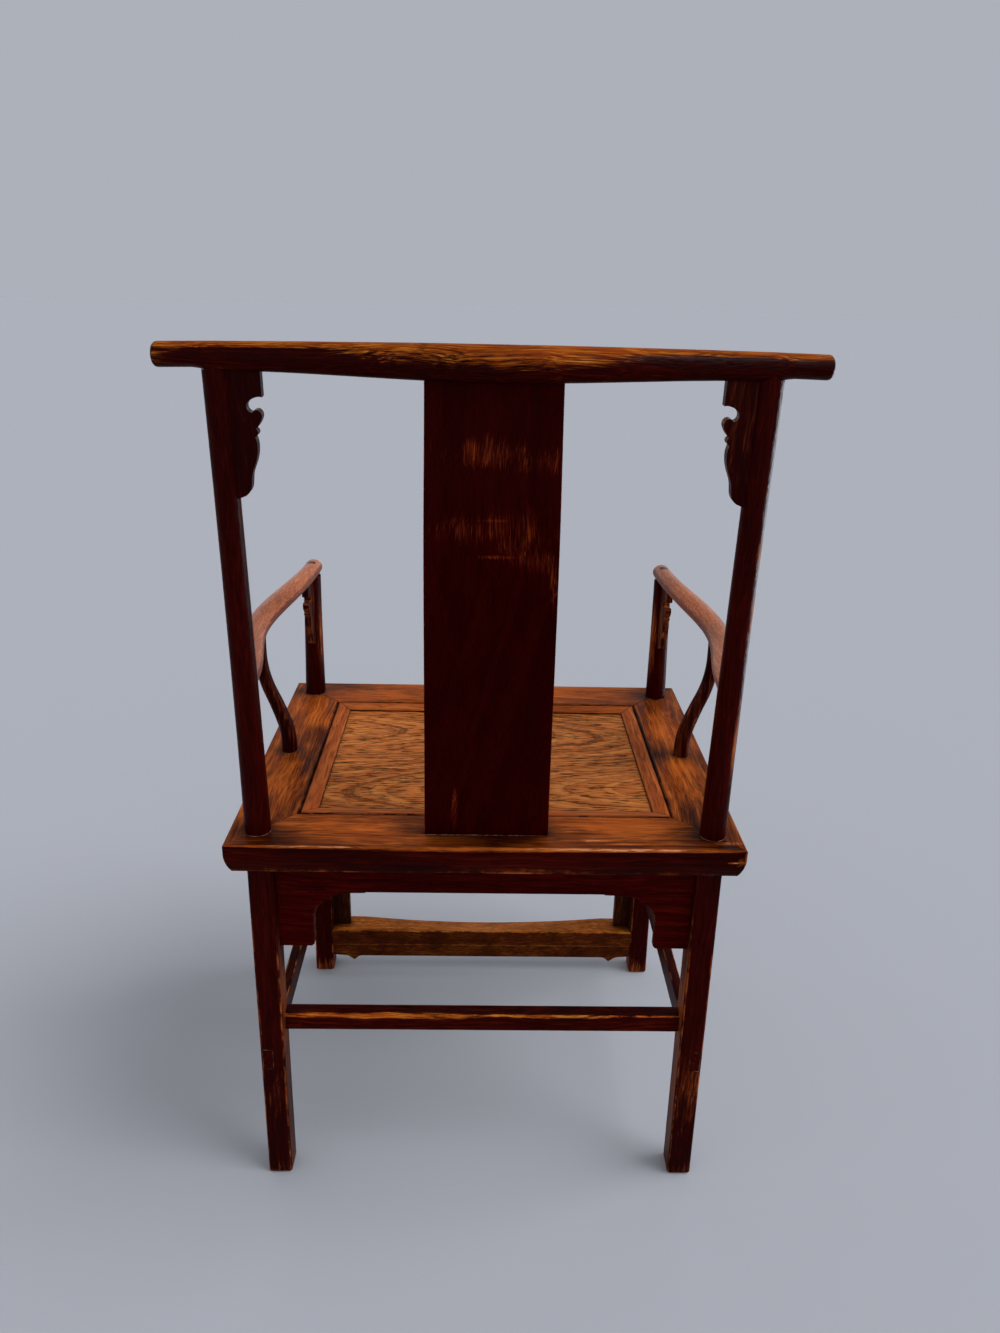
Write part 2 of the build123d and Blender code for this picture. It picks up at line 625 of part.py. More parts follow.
def arm_spandrel():
    """Carved board behind the left front post, in line with the arm above it."""
    start = arm_line()[0]
    onward = arm_line()[1]
    heading = Vector(onward[0] - start[0], onward[1] - start[1], 0).normalized()
    origin = Vector(*start) + heading * (POST_TOP_DIAMETER / 2) - Vector(0, 0, ARM_FRONT_HEIGHT / 2)
    plane = Plane(origin=origin, x_dir=heading, z_dir=heading.cross(Vector(0, 0, 1)))
    face = spandrel_face(ARM_SPANDREL_WIDTH, ARM_SPANDREL_DROP, ARM_FRONT_HEIGHT / 3)
    return board(plane * face, ARM_SPANDREL_THICKNESS)


# ---------------------------------------------------------------- aprons and brackets
def bracket_face():
    """Bracket under an apron: across from the leg's inner face, down from the apron."""
    foot = BRACKET_FOOT_WIDTH
    tail = BRACKET_REACH - foot
    curve = Spline(
        (foot, -BRACKET_CURVE_DROP),
        (foot + tail * 0.10, -BRACKET_CURVE_DROP * 0.52),
        (foot + tail * 0.34, -BRACKET_CURVE_DROP * 0.21),
        (BRACKET_REACH, -BRACKET_TIP),
        tangents=((0, 1), (1, 0.02)),
    )
    rest = Polyline(
        (BRACKET_REACH, -BRACKET_TIP),
        (BRACKET_REACH, 0),
        (-LEG_WIDTH / 4, 0),
        (-LEG_WIDTH / 4, -BRACKET_DROP),
        (foot - BRACKET_CHAMFER, -BRACKET_DROP),
        (foot, -BRACKET_DROP + BRACKET_CHAMFER),
        (foot, -BRACKET_CURVE_DROP),
    )
    return make_face(curve + rest)


def bracket(x, y, inward):
    """A bracket whose corner is at x, y under the aprons; inward points away from its leg."""
    heading = Vector(*inward)
    face = Plane(origin=(x, y, APRON_BOTTOM), x_dir=heading, z_dir=heading.cross(Vector(0, 0, 1)))
    return board(face * bracket_face(), BRACKET_THICKNESS)


def front_apron_set():
    """Top board with a cusped lower edge, and the left upright board mitred to it."""
    centre = SEAT_BOTTOM - FRONT_APRON_CENTRE
    lobe = SEAT_BOTTOM - FRONT_APRON_LOBE
    corner = SEAT_BOTTOM - FRONT_APRON_CORNER
    shoulder = SEAT_BOTTOM - FRONT_APRON_SHOULDER
    inner_x = LEG_INNER_X - FRONT_APRON_MARGIN
    corner_x = LEG_INNER_X - FRONT_APRON_CORNER
    half = LEG_INNER_X + APRON_HOUSING
    y = FRONT_LEG_Y - LEG_DEPTH / 2 + FRONT_APRON_SETBACK + FRONT_APRON_THICKNESS / 2
    plane = Plane(origin=(0, y, 0), x_dir=(1, 0, 0), z_dir=(0, -1, 0))
    cusp = ThreePointArc((0, centre), (corner_x * 0.18, lobe + 3.5), (corner_x * 0.44, lobe))
    wave = ThreePointArc((corner_x * 0.44, lobe), (corner_x * 0.78, lobe + 1.5), (corner_x, corner))
    rim = Polyline((corner_x, corner), (LEG_INNER_X, SEAT_BOTTOM), (0, SEAT_BOTTOM), (0, centre))
    half_board = board(plane * make_face(cusp + wave + rim), FRONT_APRON_THICKNESS)
    curve = ThreePointArc(
        (corner_x, corner),
        (mix(corner_x, inner_x, 0.74), mix(corner, shoulder, 0.34)),
        (inner_x, shoulder),
    )
    edge = Polyline(
        (inner_x, shoulder),
        (inner_x, FOOTREST_TOP),
        (half, FOOTREST_TOP),
        (half, SEAT_BOTTOM),
        (LEG_INNER_X, SEAT_BOTTOM),
        (corner_x, corner),
    )
    upright = board(plane * make_face(curve + edge), FRONT_APRON_THICKNESS)
    return half_board + other_side(half_board), upright


# ---------------------------------------------------------------- stretchers and footrest
def rounded_bar(bar, axis, radius):
    return fillet(bar.edges().filter_by(axis), radius)


def rear_stretcher():
    """Bar between the rear legs, and the tenon that runs inside it into both."""
    y = REAR_LEG_Y + LEG_DEPTH / 2 - REAR_STRETCHER_SETBACK - REAR_STRETCHER_DEPTH / 2
    z = REAR_STRETCHER_TOP - REAR_STRETCHER_HEIGHT / 2
    bar = slab(2 * POST_SPREAD, REAR_STRETCHER_DEPTH, REAR_STRETCHER_HEIGHT, 0, y, z)
    tenon = slab(
        2 * (LEG_INNER_X + STRETCHER_TENON_LENGTH),
        STRETCHER_TENON_WIDTH,
        REAR_STRETCHER_HEIGHT - 2 * STRETCHER_TENON_MARGIN,
        0,
        y,
        z,
    )
    return rounded_bar(bar, Axis.X, STRETCHER_ROUND), tenon


def side_stretcher():
    """Bar between the left legs; its tenon runs right through the rear leg."""
    x = LEG_OUTER_X - SIDE_STRETCHER_SETBACK - SIDE_STRETCHER_WIDTH / 2
    z = SIDE_STRETCHER_TOP - SIDE_STRETCHER_HEIGHT / 2
    bar = span_box(
        x - SIDE_STRETCHER_WIDTH / 2,
        x + SIDE_STRETCHER_WIDTH / 2,
        FRONT_LEG_Y,
        REAR_LEG_Y,
        z - SIDE_STRETCHER_HEIGHT / 2,
        SIDE_STRETCHER_TOP,
    )
    half_height = SIDE_STRETCHER_HEIGHT / 2 - SIDE_TENON_MARGIN
    tenon = span_box(
        x - SIDE_TENON_WIDTH / 2,
        x + SIDE_TENON_WIDTH / 2,
        FRONT_LEG_Y + LEG_DEPTH / 2 - STRETCHER_TENON_LENGTH,
        REAR_LEG_Y + 2 * LEG_DEPTH,
        z - half_height,
        z + half_height,
    )
    return rounded_bar(bar, Axis.Y, STRETCHER_ROUND), tenon


def footrest():
    """Broad front stretcher, with a hollow worn along its front edge, and its tenon."""
    front_y = FOOTREST_REAR_Y - FOOTREST_DEPTH
    rear_y = FOOTREST_REAR_Y
    end_x = LEG_OUTER_X + FRONT_SPLAY_SIDE
    bar = rounded_bar(
        span_box(-end_x, end_x, front_y, rear_y, FOOTREST_BOTTOM, FOOTREST_TOP), Axis.X, FOOTREST_ROUND
    )
    # Only the nose runs on past the legs; the rest stops inside them.
    behind_leg = span_box(LEG_SPREAD, 2 * end_x, FRONT_LEG_Y, 0, 0, SEAT_BOTTOM)
    bar = bar - behind_leg - other_side(behind_leg)
    radius = (FOOTREST_WEAR_LENGTH**2 / 4 + FOOTREST_WEAR**2) / (2 * FOOTREST_WEAR)
    tilt = math.degrees(math.atan2(FOOTREST_WEAR, rear_y - front_y))
    roller = Pos(0, 0, radius) * Cylinder(radius, 4 * (rear_y - front_y), rotation=(90, 0, 0))
    hollow = Pos(0, rear_y, FOOTREST_TOP) * Rot(tilt, 0, 0) * roller
    tenon = slab(
        2 * (LEG_INNER_X + STRETCHER_TENON_LENGTH),
        FOOTREST_TENON_DEPTH,
        FOOTREST_HEIGHT - 2 * STRETCHER_TENON_MARGIN,
        0,
        FRONT_LEG_Y,
        (FOOTREST_TOP + FOOTREST_BOTTOM) / 2,
    )
    return bar - hollow, tenon


def footrest_apron():
    """Thin board under the footrest with a small point near each end."""
    bottom = FOOTREST_BOTTOM - FOOTREST_APRON_HEIGHT
    half = LEG_INNER_X + APRON_HOUSING
    reach = FOOTREST_POINT_WIDTH / 2
    y = FOOTREST_REAR_Y - FOOTREST_APRON_SETBACK - FOOTREST_APRON_THICKNESS / 2
    plane = Plane(origin=(0, y, 0), x_dir=(1, 0, 0), z_dir=(0, -1, 0))
    tip = (FOOTREST_POINT_X, bottom - FOOTREST_POINT)
    inner_sweep = Spline((FOOTREST_POINT_X - reach, bottom), tip, tangents=((1, 0), (1, -0.6)))
    outer_sweep = Spline(tip, (FOOTREST_POINT_X + reach, bottom), tangents=((1, 0.5), (1, 0.2)))
    rest = Polyline(
        (FOOTREST_POINT_X + reach, bottom),
        (half, bottom + 2),
        (half, FOOTREST_BOTTOM),
        (0, FOOTREST_BOTTOM),
        (0, bottom),
        (FOOTREST_POINT_X - reach, bottom),
    )
    half_board = board(plane * make_face(inner_sweep + outer_sweep + rest), FOOTREST_APRON_THICKNESS)
    return half_board + other_side(half_board)


# ---------------------------------------------------------------- assembly
def build_seat():
    """Seat frame, panel, strips and battens, before the legs are let in."""
    rails = dict(zip(("front", "rear", "left", "right"), seat_frame()))
    strips = dict(zip(("front", "rear", "left", "right"), seat_strips()))
    braces = {}
    for side, x in (("left", BRACE_X), ("right", -BRACE_X)):
        body, tenon = brace_parts(x)
        for end in ("front", "rear"):
            body, rails[end] = join(body, tenon, rails[end])
        braces[side] = body
    front_board, rear_board = panel_boards()
    return rails, strips, braces, front_board, rear_board


def build():
    pieces = {}
    rails, strips, braces, front_board, rear_board = build_seat()
    rear = rear_leg()
    front = front_leg()
    yoke = top_rail()
    left_arm = arm()

    # Spandrels are scribed to the post and to what they hang from.
    top_corner = top_spandrel() - rear - yoke
    arm_corner = arm_spandrel() - front - left_arm

    # Legs and middle posts come up through the seat frame.
    for side, turned in (("left", False), ("right", True)):
        for leg, end in ((rear, "rear"), (front, "front")):
            shaft = other_side(leg) if turned else leg
            rails[side] = rails[side] - shaft
            rails[end] = rails[end] - shaft
    middle_foot = Pos(MIDDLE_POST_SPREAD, MIDDLE_POST_Y, SEAT_HEIGHT) * Cylinder(
        MIDDLE_FOOT_DIAMETER / 2, 2 * MIDDLE_FOOT_LENGTH
    )
    middle = middle_post() - left_arm + (middle_foot & rails["left"])
    rails["right"] = rails["right"] - other_side(middle_foot)
    rails["left"] = rails["left"] - middle_foot
    arm_underside = MIDDLE_POST_TOP - ARM_MIDDLE_HEIGHT / 2
    middle_pin = Pos(MIDDLE_POST_TOP_X, MIDDLE_POST_Y, arm_underside) * Cylinder(
        MIDDLE_PIN_DIAMETER / 2, 2 * MIDDLE_PIN_LENGTH
    )
    middle, left_arm = join(middle, middle_pin, left_arm)

    # Splat between the rear seat rail and the yoke.
    foot = splat_tenon(SPLAT_BASE_WIDTH, splat_y(0), SEAT_HEIGHT)
    head = splat_tenon(SPLAT_TOP_WIDTH, splat_y(1), RAIL_CREST - RAIL_MIDDLE_HEIGHT)
    back, rails["rear"] = join(splat(), foot, rails["rear"])
    back, yoke = join(back, head, yoke)

    # Rear posts into the yoke, on both sides.
    post_tenon = Pos(REAR_POST_TOP_X, RAIL_CENTRE_Y, RAIL_UNDERSIDE) * Cylinder(
        POST_TENON_DIAMETER / 2, 2 * POST_TENON_LENGTH
    )
    rear_end = post_tenon & yoke
    rear = (rear - yoke) + rear_end
    yoke = yoke - post_tenon - other_side(post_tenon)

    # Front post through the arm, and the arm's tail into the rear post.
    arm_pin = slab(
        ARM_PIN_SIZE, ARM_PIN_SIZE, 2 * ARM_FRONT_HEIGHT, FRONT_POST_TOP_X, FRONT_POST_Y, ARM_LEVEL_FRONT
    )
    front, left_arm = join(front, arm_pin, left_arm)
    tail_y = rear_post_y(ARM_LEVEL_REAR) - POST_TOP_DIAMETER / 2
    tail = Pos(POST_SPREAD, tail_y, ARM_LEVEL_REAR) * Cylinder(
        ARM_TAIL_DIAMETER / 2, 2 * ARM_TAIL_LENGTH, rotation=(90, 0, 0)
    )
    left_arm, rear = join(left_arm, tail, rear)

    # Aprons are housed in the legs; brackets stand against them.
    apron_y = REAR_LEG_Y + LEG_DEPTH / 2 - APRON_SETBACK - APRON_THICKNESS / 2
    apron_x = LEG_OUTER_X - APRON_SETBACK - APRON_THICKNESS / 2
    rear_inner = REAR_LEG_Y - LEG_DEPTH / 2
    front_inner = FRONT_LEG_Y + LEG_DEPTH / 2
    apron_rear = slab(
        2 * (LEG_INNER_X + APRON_HOUSING),
        APRON_THICKNESS,
        APRON_HEIGHT,
        0,
        apron_y,
        SEAT_BOTTOM - APRON_HEIGHT / 2,
    )
    apron_left = slab(
        APRON_THICKNESS,
        rear_inner - front_inner + 2 * APRON_HOUSING,
        APRON_HEIGHT,
        apron_x,
        (rear_inner + front_inner) / 2,
        SEAT_BOTTOM - APRON_HEIGHT / 2,
    )
    bracket_rear = bracket(LEG_INNER_X, apron_y, (-1, 0, 0)) - rear
    bracket_side_rear = bracket(apron_x, rear_inner, (0, -1, 0)) - rear
    bracket_side_front = bracket(apron_x, front_inner, (0, 1, 0)) - front
    apron_front, upright = front_apron_set()

    # Stretchers
    bar_rear, tenon_rear = rear_stretcher()
    bar_side, tenon_side = side_stretcher()
    bar_front, tenon_front = footrest()
    foot_board = footrest_apron()
    bar_side, front = join(bar_side, tenon_side, front)
    bar_side, rear = join(bar_side, tenon_side, rear)
    for host in (rear, other_side(rear)):
        bar_rear = join(bar_rear, tenon_rear, host)[0]
    for host in (front, other_side(front)):
        bar_front = join(bar_front, tenon_front, host)[0]
    rear = rear - tenon_rear - apron_rear - apron_left
    front = front - tenon_front - apron_left - upright - foot_board

    pieces["top_rail"] = yoke
    pieces["back_splat"] = back
    for end in ("front", "rear", "left", "right"):
        pieces["seat_rail_" + end] = rails[end]
        pieces["seat_strip_" + end] = strips[end]
    pieces["seat_panel_front_board"] = front_board
    pieces["seat_panel_rear_board"] = rear_board
    pieces["panel_batten_left"] = braces["left"]
    pieces["panel_batten_right"] = braces["right"]
    pieces["apron_rear"] = apron_rear
    pieces["apron_front"] = apron_front
    pieces["stretcher_rear"] = bar_rear
    pieces["footrest"] = bar_front
    pieces["footrest_apron"] = foot_board
    sided = {
        "rear_leg": rear,
        "front_leg": front,
        "armrest": left_arm,
        "middle_post": middle,
        "top_spandrel": top_corner,
        "arm_spandrel": arm_corner,
        "apron_side": apron_left,
        "apron_upright": upright,
        "bracket_rear": bracket_rear,
        "bracket_side_rear": bracket_side_rear,
        "bracket_side_front": bracket_side_front,
        "stretcher_side": bar_side,
    }
    for name, shape in sided.items():
        pieces[name + "_left"] = shape
        pieces[name + "_right"] = other_side(shape)
    return pieces


def export(pieces):
    """Write each piece with the origin at the middle of the chair's footprint."""
    boxes = [shape.bounding_box() for shape in pieces.values()]
    middle_y = (min(box.min.Y for box in boxes) + max(box.max.Y for box in boxes)) / 2
    os.makedirs("parts", exist_ok=True)
    for name, shape in pieces.items():
        solids = shape.solids()
        if len(solids) != 1:
            raise ValueError(f"{name} is {len(solids)} solids")
        export_step(Pos(0, -middle_y, 0) * solids[0], f"parts/{name}.step")


export(build())
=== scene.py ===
"""Yoke-back armchair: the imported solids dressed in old, hand-worn rosewood and elm.

Every length is in millimetres until it reaches Blender, where it is scaled by MM. The frame is the
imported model's: X across the chair with +X on the sitter's left, the chair faces -Y, Z is up from the
floor.
"""

from __future__ import annotations

import logging
import math
from dataclasses import dataclass, replace
from enum import Enum
from functools import partial
from typing import Any, Callable, Sequence

import bmesh
import bpy
from mathutils import Matrix, Vector

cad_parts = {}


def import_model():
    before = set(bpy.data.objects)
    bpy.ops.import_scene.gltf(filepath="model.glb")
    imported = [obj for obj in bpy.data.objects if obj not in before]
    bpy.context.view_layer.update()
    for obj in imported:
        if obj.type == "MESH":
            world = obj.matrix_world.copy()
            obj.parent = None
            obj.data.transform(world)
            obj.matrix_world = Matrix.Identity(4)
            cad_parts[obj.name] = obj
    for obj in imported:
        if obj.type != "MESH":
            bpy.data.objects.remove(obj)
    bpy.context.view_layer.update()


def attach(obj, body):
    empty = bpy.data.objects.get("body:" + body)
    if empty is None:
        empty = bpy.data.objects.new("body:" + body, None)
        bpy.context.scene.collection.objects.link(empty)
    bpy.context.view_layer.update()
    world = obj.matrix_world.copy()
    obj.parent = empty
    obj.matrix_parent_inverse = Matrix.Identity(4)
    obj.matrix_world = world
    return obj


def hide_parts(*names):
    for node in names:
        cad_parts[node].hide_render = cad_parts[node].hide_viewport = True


Adder = Callable[..., Any]
Mesh = bpy.types.Mesh
Piece = bpy.types.Object
Point = tuple[float, float, float]
Socket = bpy.types.NodeSocket
Tree = bpy.types.NodeTree

LOG = logging.getLogger("armchair")
MM = 0.001
BODY = "root"
IMAGE_SIZE = (1000, 1333)
SIDES = (("left", 1), ("right", -1))


# -------- colour and node helpers
def linear(hex_colour: str) -> tuple[float, float, float, float]:
    """Turn an sRGB hex value into the linear colour that shaders take.

    Args:
        hex_colour: six hex digits, with or without a leading '#'.

    Returns:
        Red, green, blue and an alpha of 1.
    """
    digits = hex_colour.lstrip("#")
    channels = [int(digits[i:i + 2], 16) / 255 for i in (0, 2, 4)]
    values = [c / 12.92 if c <= 0.04045 else ((c + 0.055) / 1.055) ** 2.4 for c in channels]
    return values[0], values[1], values[2], 1.0


def add_node(tree: Tree, kind: str, *values: Any, out: int | str | None = 0, **named: Any) -> Any:
    """Add a node, set its properties, and fill or link its inputs.

    Args:
        tree: the shader or geometry tree.
        kind: the type name, where 'ShaderNode' may be left out, and after a space the operation.
        values: for the first inputs in order, a value or the socket that feeds it.
        out: the output to return, or None for the node itself.
        named: a property under its lower-case name, or an input under its name or identifier.

    Returns:
        The output socket, or the node.
    """
    kind, _, operation = kind.partition(" ")
    node = tree.nodes.new(kind if "Node" in kind else f"ShaderNode{kind}")
    if operation:
        node.operation = operation
    inputs = dict(enumerate(values))
    for name, value in named.items():
        if name[0].islower():
            setattr(node, name, value)
        else:
            matches = [name in (s.identifier, s.name.replace(" ", "_")) for s in node.inputs]
            inputs[matches.index(True)] = value
    for index, value in inputs.items():
        if isinstance(value, Socket):
            tree.links.new(value, node.inputs[index])
        else:
            node.inputs[index].default_value = value
    return node if out is None else node.outputs[out]


def blank(owner: bpy.types.Material | bpy.types.World) -> Adder:
    """Empty the node tree of a material or world.

    Args:
        owner: the material or world.

    Returns:
        add_node, for that tree.
    """
    owner.use_nodes = True
    owner.node_tree.nodes.clear()
    return partial(add_node, owner.node_tree)


def set_ramp(node: bpy.types.Node, stops: Sequence[tuple[float, Any]]) -> Socket:
    """Give a colour ramp its stops.

    Args:
        node: the colour ramp.
        stops: position and colour pairs; a number stands for a grey.

    Returns:
        The ramp's colour.
    """
    elements = node.color_ramp.elements
    while len(elements) < len(stops):
        elements.new(1.0)
    for element, (position, colour) in zip(elements, stops):
        element.position = position
        element.color = colour if isinstance(colour, tuple) else (colour, colour, colour, 1.0)
    return node.outputs[0]


def cells(along_mm: float, across_mm: float) -> Point:
    """How many of a pattern's cells fit in a metre along and across the fibres.

    Args:
        along_mm: a cell's length.
        across_mm: its width.

    Returns:
        The scale on each axis, X along the fibres.
    """
    return 1000 / along_mm, 1000 / across_mm, 1000 / across_mm


# -------- finishes
class Grain(Enum):
    """Which way the wood's fibres run."""

    ACROSS = (0.0, 0.0, 0.0)
    DEEP = (0.0, 0.0, math.radians(-90))
    UPRIGHT = (0.0, math.radians(90), 0.0)


@dataclass(frozen=True)
class RubAndGlint:
    """A place where use has rubbed the polish thin, or past a strength of 3 worn it pale; some of these are
    painted highlights.
    """

    centre: Point
    reach: Point
    strength: float


@dataclass(frozen=True)
class Facing:
    """Wear on the faces that look one way; on the top rail's crest it is also a painted highlight.

    along is the direction, begin and full are the cosines at which the wear starts and is whole.
    """

    along: Point
    begin: float
    full: float
    strength: float


# Patterns that all woods share. A range holds two values in, and the two that they become.
UP = (0.0, 0.0, 1.0)
WANDER_MM = 140.0                       # the fibres drift from straight over this length
WANDER_REACH = (0.02, 0.024, 0.024)     # by up to about half of this, in metres
RING_RAGGED_MM = 1.6                    # the fibres roughen the rings by this much
PORE_STOPS = ((0.38, 0.15), (0.50, 1.0))
YEAR_UNEVEN = 1.8                       # how far the years differ in width
PATCH_STOPS = ((0.38, 0.30), (0.60, 1.0))
PATCH_STRETCH = 0.45                    # a patch's width for a length of 1
TONE_SPREAD = (0.26, 0.03)              # of the figure, at no contrast and at full contrast
# Closed-in places darken to this colour: dirt, and painted shade.
DIRT_AND_SHADE = "#1a0401"
DIRT_AND_SHADE_RANGE = (0.45, 0.97)               # how open the air is where dirt and painted shade are thick, and where they are gone
RELIEF = 0.4
SCRATCH_MM = (22.0, 1.2)
SCRATCH_RANGE = (0.42, 0.68, 0.45, 1.2)
EDGE_RANGE = (0.975, 0.86, 0.0, 1.0)    # the normal's largest part: square to an axis, and rounded
KNOCK_MM = 18.0
KNOCK_RANGE = (0.4, 0.6, 0.1)
FADE_MM = 160.0                         # wear that stops at a height fades in over this length
PATCH_WEAR = 1.3                        # how much the patches steer the wear
WEAR_GAIN = 1.25
WEAR_RANGE = (0.8, 1.5, 0.0, 1.0)
GATE_RANGE = (0.0, 0.25, 0.0, 1.0)
# Rubs past a strength of 3 turn pale: worn-through marks, and painted highlights on the seat's rear.
SCUFF_AND_GLINT_RANGE = (2.2, 3.6, 0.0, 0.9)


@dataclass(frozen=True)
class WoodFinish:
    """Solid wood with rings, fibres, pores, a rubbed polish and worn edges.

    polish and bare are the dark, middle and light tones under whole polish and where it is gone.
    """

    name: str
    polish: tuple[str, str, str]
    bare: tuple[str, str, str]
    ring_mm: float = 5.0
    ring_share: float = 0.4
    pith: tuple[float, float] = (35.0, -60.0)
    tilt: float = 3.0
    fibre_mm: float = 3.3
    streak_mm: float = 90.0
    contrast: float = 0.5
    pore_mm: tuple[float, float] = (18.0, 1.4)
    pore_depth: float = 0.35
    line_depth: float = 0.0
    blotch_mm: float = 90.0
    blotch_depth: float = 0.45
    arris: float = 0.8
    worn_below: float = 2000.0
    ragged: float = 1.6             # how far the wear follows the fibres
    wander: float = 1.0             # how far the fibres wander from straight
    wear_floor: float = 0.0
    # pale colour of rubs past a strength of 3: worn-through marks and painted highlights
    scuff_and_glint: str = "#cc8a60"
    # how far closed-in places darken, and within what distance: dirt and painted shade
    dirt_and_shade: float = 0.0
    dirt_and_shade_mm: float = 14.0
    facings: tuple[Facing, ...] = ()
    rubs: tuple[RubAndGlint, ...] = ()
    roughness: float = 0.42
    worn_roughness: float = 0.55
    specular: float = 0.08
    bump_mm: float = 0.3

    def material(self, grain: Grain) -> bpy.types.Material:
        """Build the material once for each way that the grain runs.

        Args:
            grain: the direction of the fibres.

        Returns:
            The material, new or already built.
        """
        name = f"{self.name}_{grain.name.lower()}"
        if name in bpy.data.materials:
            return bpy.data.materials[name]
        material = bpy.data.materials.new(name)
        add = blank(material)
        place = self._place(add, grain)
        figure, fibres, marks, blotch = self._figure(add, place)
        polish, bare = (self._tone(add, tones, figure, marks, blotch) for tones in (self.polish, self.bare))
        wear, pale_scuff_and_glint = self._wear_and_highlights(add, place, fibres, blotch)
        # Worn wood, then the pale colour of worn-through marks and painted highlights.
        layers = [(wear, bare), (pale_scuff_and_glint, linear(self.scuff_and_glint))]
        if self.dirt_and_shade:
            # Dirt gathers in grooves and round the posts, where the surface is closed in; the same darkening
            # also paints the shade that falls there.
            open_air = add("AmbientOcclusion", Distance=self.dirt_and_shade_mm * MM, out="AO", samples=6)
            layers.append((add("MapRange", open_air, *DIRT_AND_SHADE_RANGE, self.dirt_and_shade, 0.0), linear(DIRT_AND_SHADE)))
        colour = polish
        for share, tint in layers:
            colour = add("Mix", share, A_Color=colour, B_Color=tint, out=2, data_type="RGBA")
        bump = add("Bump", Strength=RELIEF, Distance=self.bump_mm * MM, Height=add("Math ADD", figure, marks))
        roughness = add("MapRange", wear, 0.0, 1.0, self.roughness, self.worn_roughness)
        add("OutputMaterial", add("BsdfPrincipled", colour, Roughness=roughness, Normal=bump,
                                  Specular_IOR_Level=self.specular), out=None)
        return material

    def _place(self, add: Adder, grain: Grain) -> Socket:
        """Turn the piece's own coordinates so that X follows the fibres, and let them wander.

        Args:
            add: add_node for the material.
            grain: the direction of the fibres.

        Returns:
            The place in the wood.
        """
        turned = add("Mapping", add("TexCoord", out="Object"), Rotation=grain.value)
        wander = add("TexNoise", turned, Scale=1000 / WANDER_MM, Detail=2.0, out="Color")
        centred = add("VectorMath SUBTRACT", wander, (0.5, 0.5, 0.5))
        offset = add("VectorMath MULTIPLY", centred, [reach * self.wander for reach in WANDER_REACH])
        return add("VectorMath ADD", turned, offset)

    def _figure(self, add: Adder, place: Socket) -> tuple[Socket, Socket, Socket, Socket]:
        """Uneven rings round a tilted pith, fibres along it, fine pores, and patches of patina.

        Args:
            add: add_node for the material.
            place: the place in the wood.

        Returns:
            The figure, the fibres alone, the marks of pores and years, and the patches.
        """
        cell = add("VectorMath MULTIPLY", place, cells(self.streak_mm, self.fibre_mm))
        fibres = add("TexNoise", cell, Scale=1.0, Detail=5.0, Roughness=0.65)
        log = add("Mapping", place, Location=(0.0, self.pith[0] * MM, self.pith[1] * MM),
                  Rotation=(0.0, math.radians(self.tilt), math.radians(self.tilt * 0.5)))
        section = add("VectorMath MULTIPLY", log, (0.0, 1.0, 1.0))
        radius = add("VectorMath LENGTH", section, out="Value")
        ragged = add("Math MULTIPLY_ADD", fibres, RING_RAGGED_MM * MM, radius)
        count = add("Math DIVIDE", ragged, self.ring_mm * MM)
        rings = add("TexNoise", W=count, Scale=1.0, Detail=3.0, Roughness=0.7, noise_dimensions="1D")
        figure = add("Mix", self.ring_share, A_Float=fibres, B_Float=rings)
        cell = add("VectorMath MULTIPLY", place, cells(*self.pore_mm))
        pore_noise = add("TexNoise", cell, Scale=1.0, Detail=2.0, Roughness=0.5)
        pores = set_ramp(add("ValToRGB", pore_noise, out=None), PORE_STOPS)
        # Each year ends in a thin dark line, sharp on one side.
        season = add("Math FRACT", add("Math MULTIPLY_ADD", rings, YEAR_UNEVEN, count))
        low = 1.0 - self.line_depth
        lines = set_ramp(add("ValToRGB", season, out=None), (
            (0.0, low), (0.12, 1.0), (0.76, 1.0), (1.0, (1.0 + low) / 2)))
        cell = add("VectorMath MULTIPLY", place, cells(self.blotch_mm / PATCH_STRETCH, self.blotch_mm))
        blotch = add("TexNoise", cell, Scale=1.0, Detail=3.0, Roughness=0.6)
        return figure, fibres, add("Math MULTIPLY", pores, lines), blotch

    def _tone(self, add: Adder, tones: tuple[str, str, str], figure: Socket, marks: Socket,
              blotch: Socket) -> Socket:
        """Colour the figure with three tones, draw the pores and lay the patches over it.

        Args:
            add: add_node for the material.
            tones: the dark, middle and light tone.
            figure: the figure.
            marks: the marks of pores and years.
            blotch: the patches.

        Returns:
            The colour.
        """
        wide, narrow = TONE_SPREAD
        spread = wide * (1.0 - self.contrast) + narrow
        stops = [(0.5 + spread * side, linear(tone)) for side, tone in zip((-1, 0, 1), tones)]
        colour = set_ramp(add("ValToRGB", figure, out=None), stops)
        patches = set_ramp(add("ValToRGB", blotch, out=None), PATCH_STOPS)
        for depth, shade in ((self.pore_depth, marks), (self.blotch_depth, patches)):
            colour = add(
                "Mix", depth, A_Color=colour, B_Color=shade, out=2, data_type="RGBA", blend_type="MULTIPLY")
        return colour

    def _wear_and_highlights(self, add: Adder, place: Socket, fibres: Socket, blotch: Socket) -> tuple[Socket, Socket]:
        """How far the polish is worn on edges, faces and at rubbed places, and where it turns pale; some rubs
        and facings paint highlights this way.

        Args:
            add: add_node for the material.
            place: the place in the wood.
            fibres: the fibres, which the wear follows.
            blotch: the patches, which break it up.

        Returns:
            The wear and the pale marks, both carrying some painted highlights, 0 to 1.
        """
        cell = add("VectorMath MULTIPLY", place, cells(*SCRATCH_MM))
        scratch_noise = add("TexNoise", cell, Scale=1.0, Detail=3.0, Roughness=0.6)
        scratches = add("MapRange", scratch_noise, *SCRATCH_RANGE)
        normal = add("NewGeometry", out="True Normal")
        across, deep, up = add("SeparateXYZ", add("VectorMath ABSOLUTE", normal), out=None).outputs
        widest = add("Math MAXIMUM", add("Math MAXIMUM", across, deep), up)
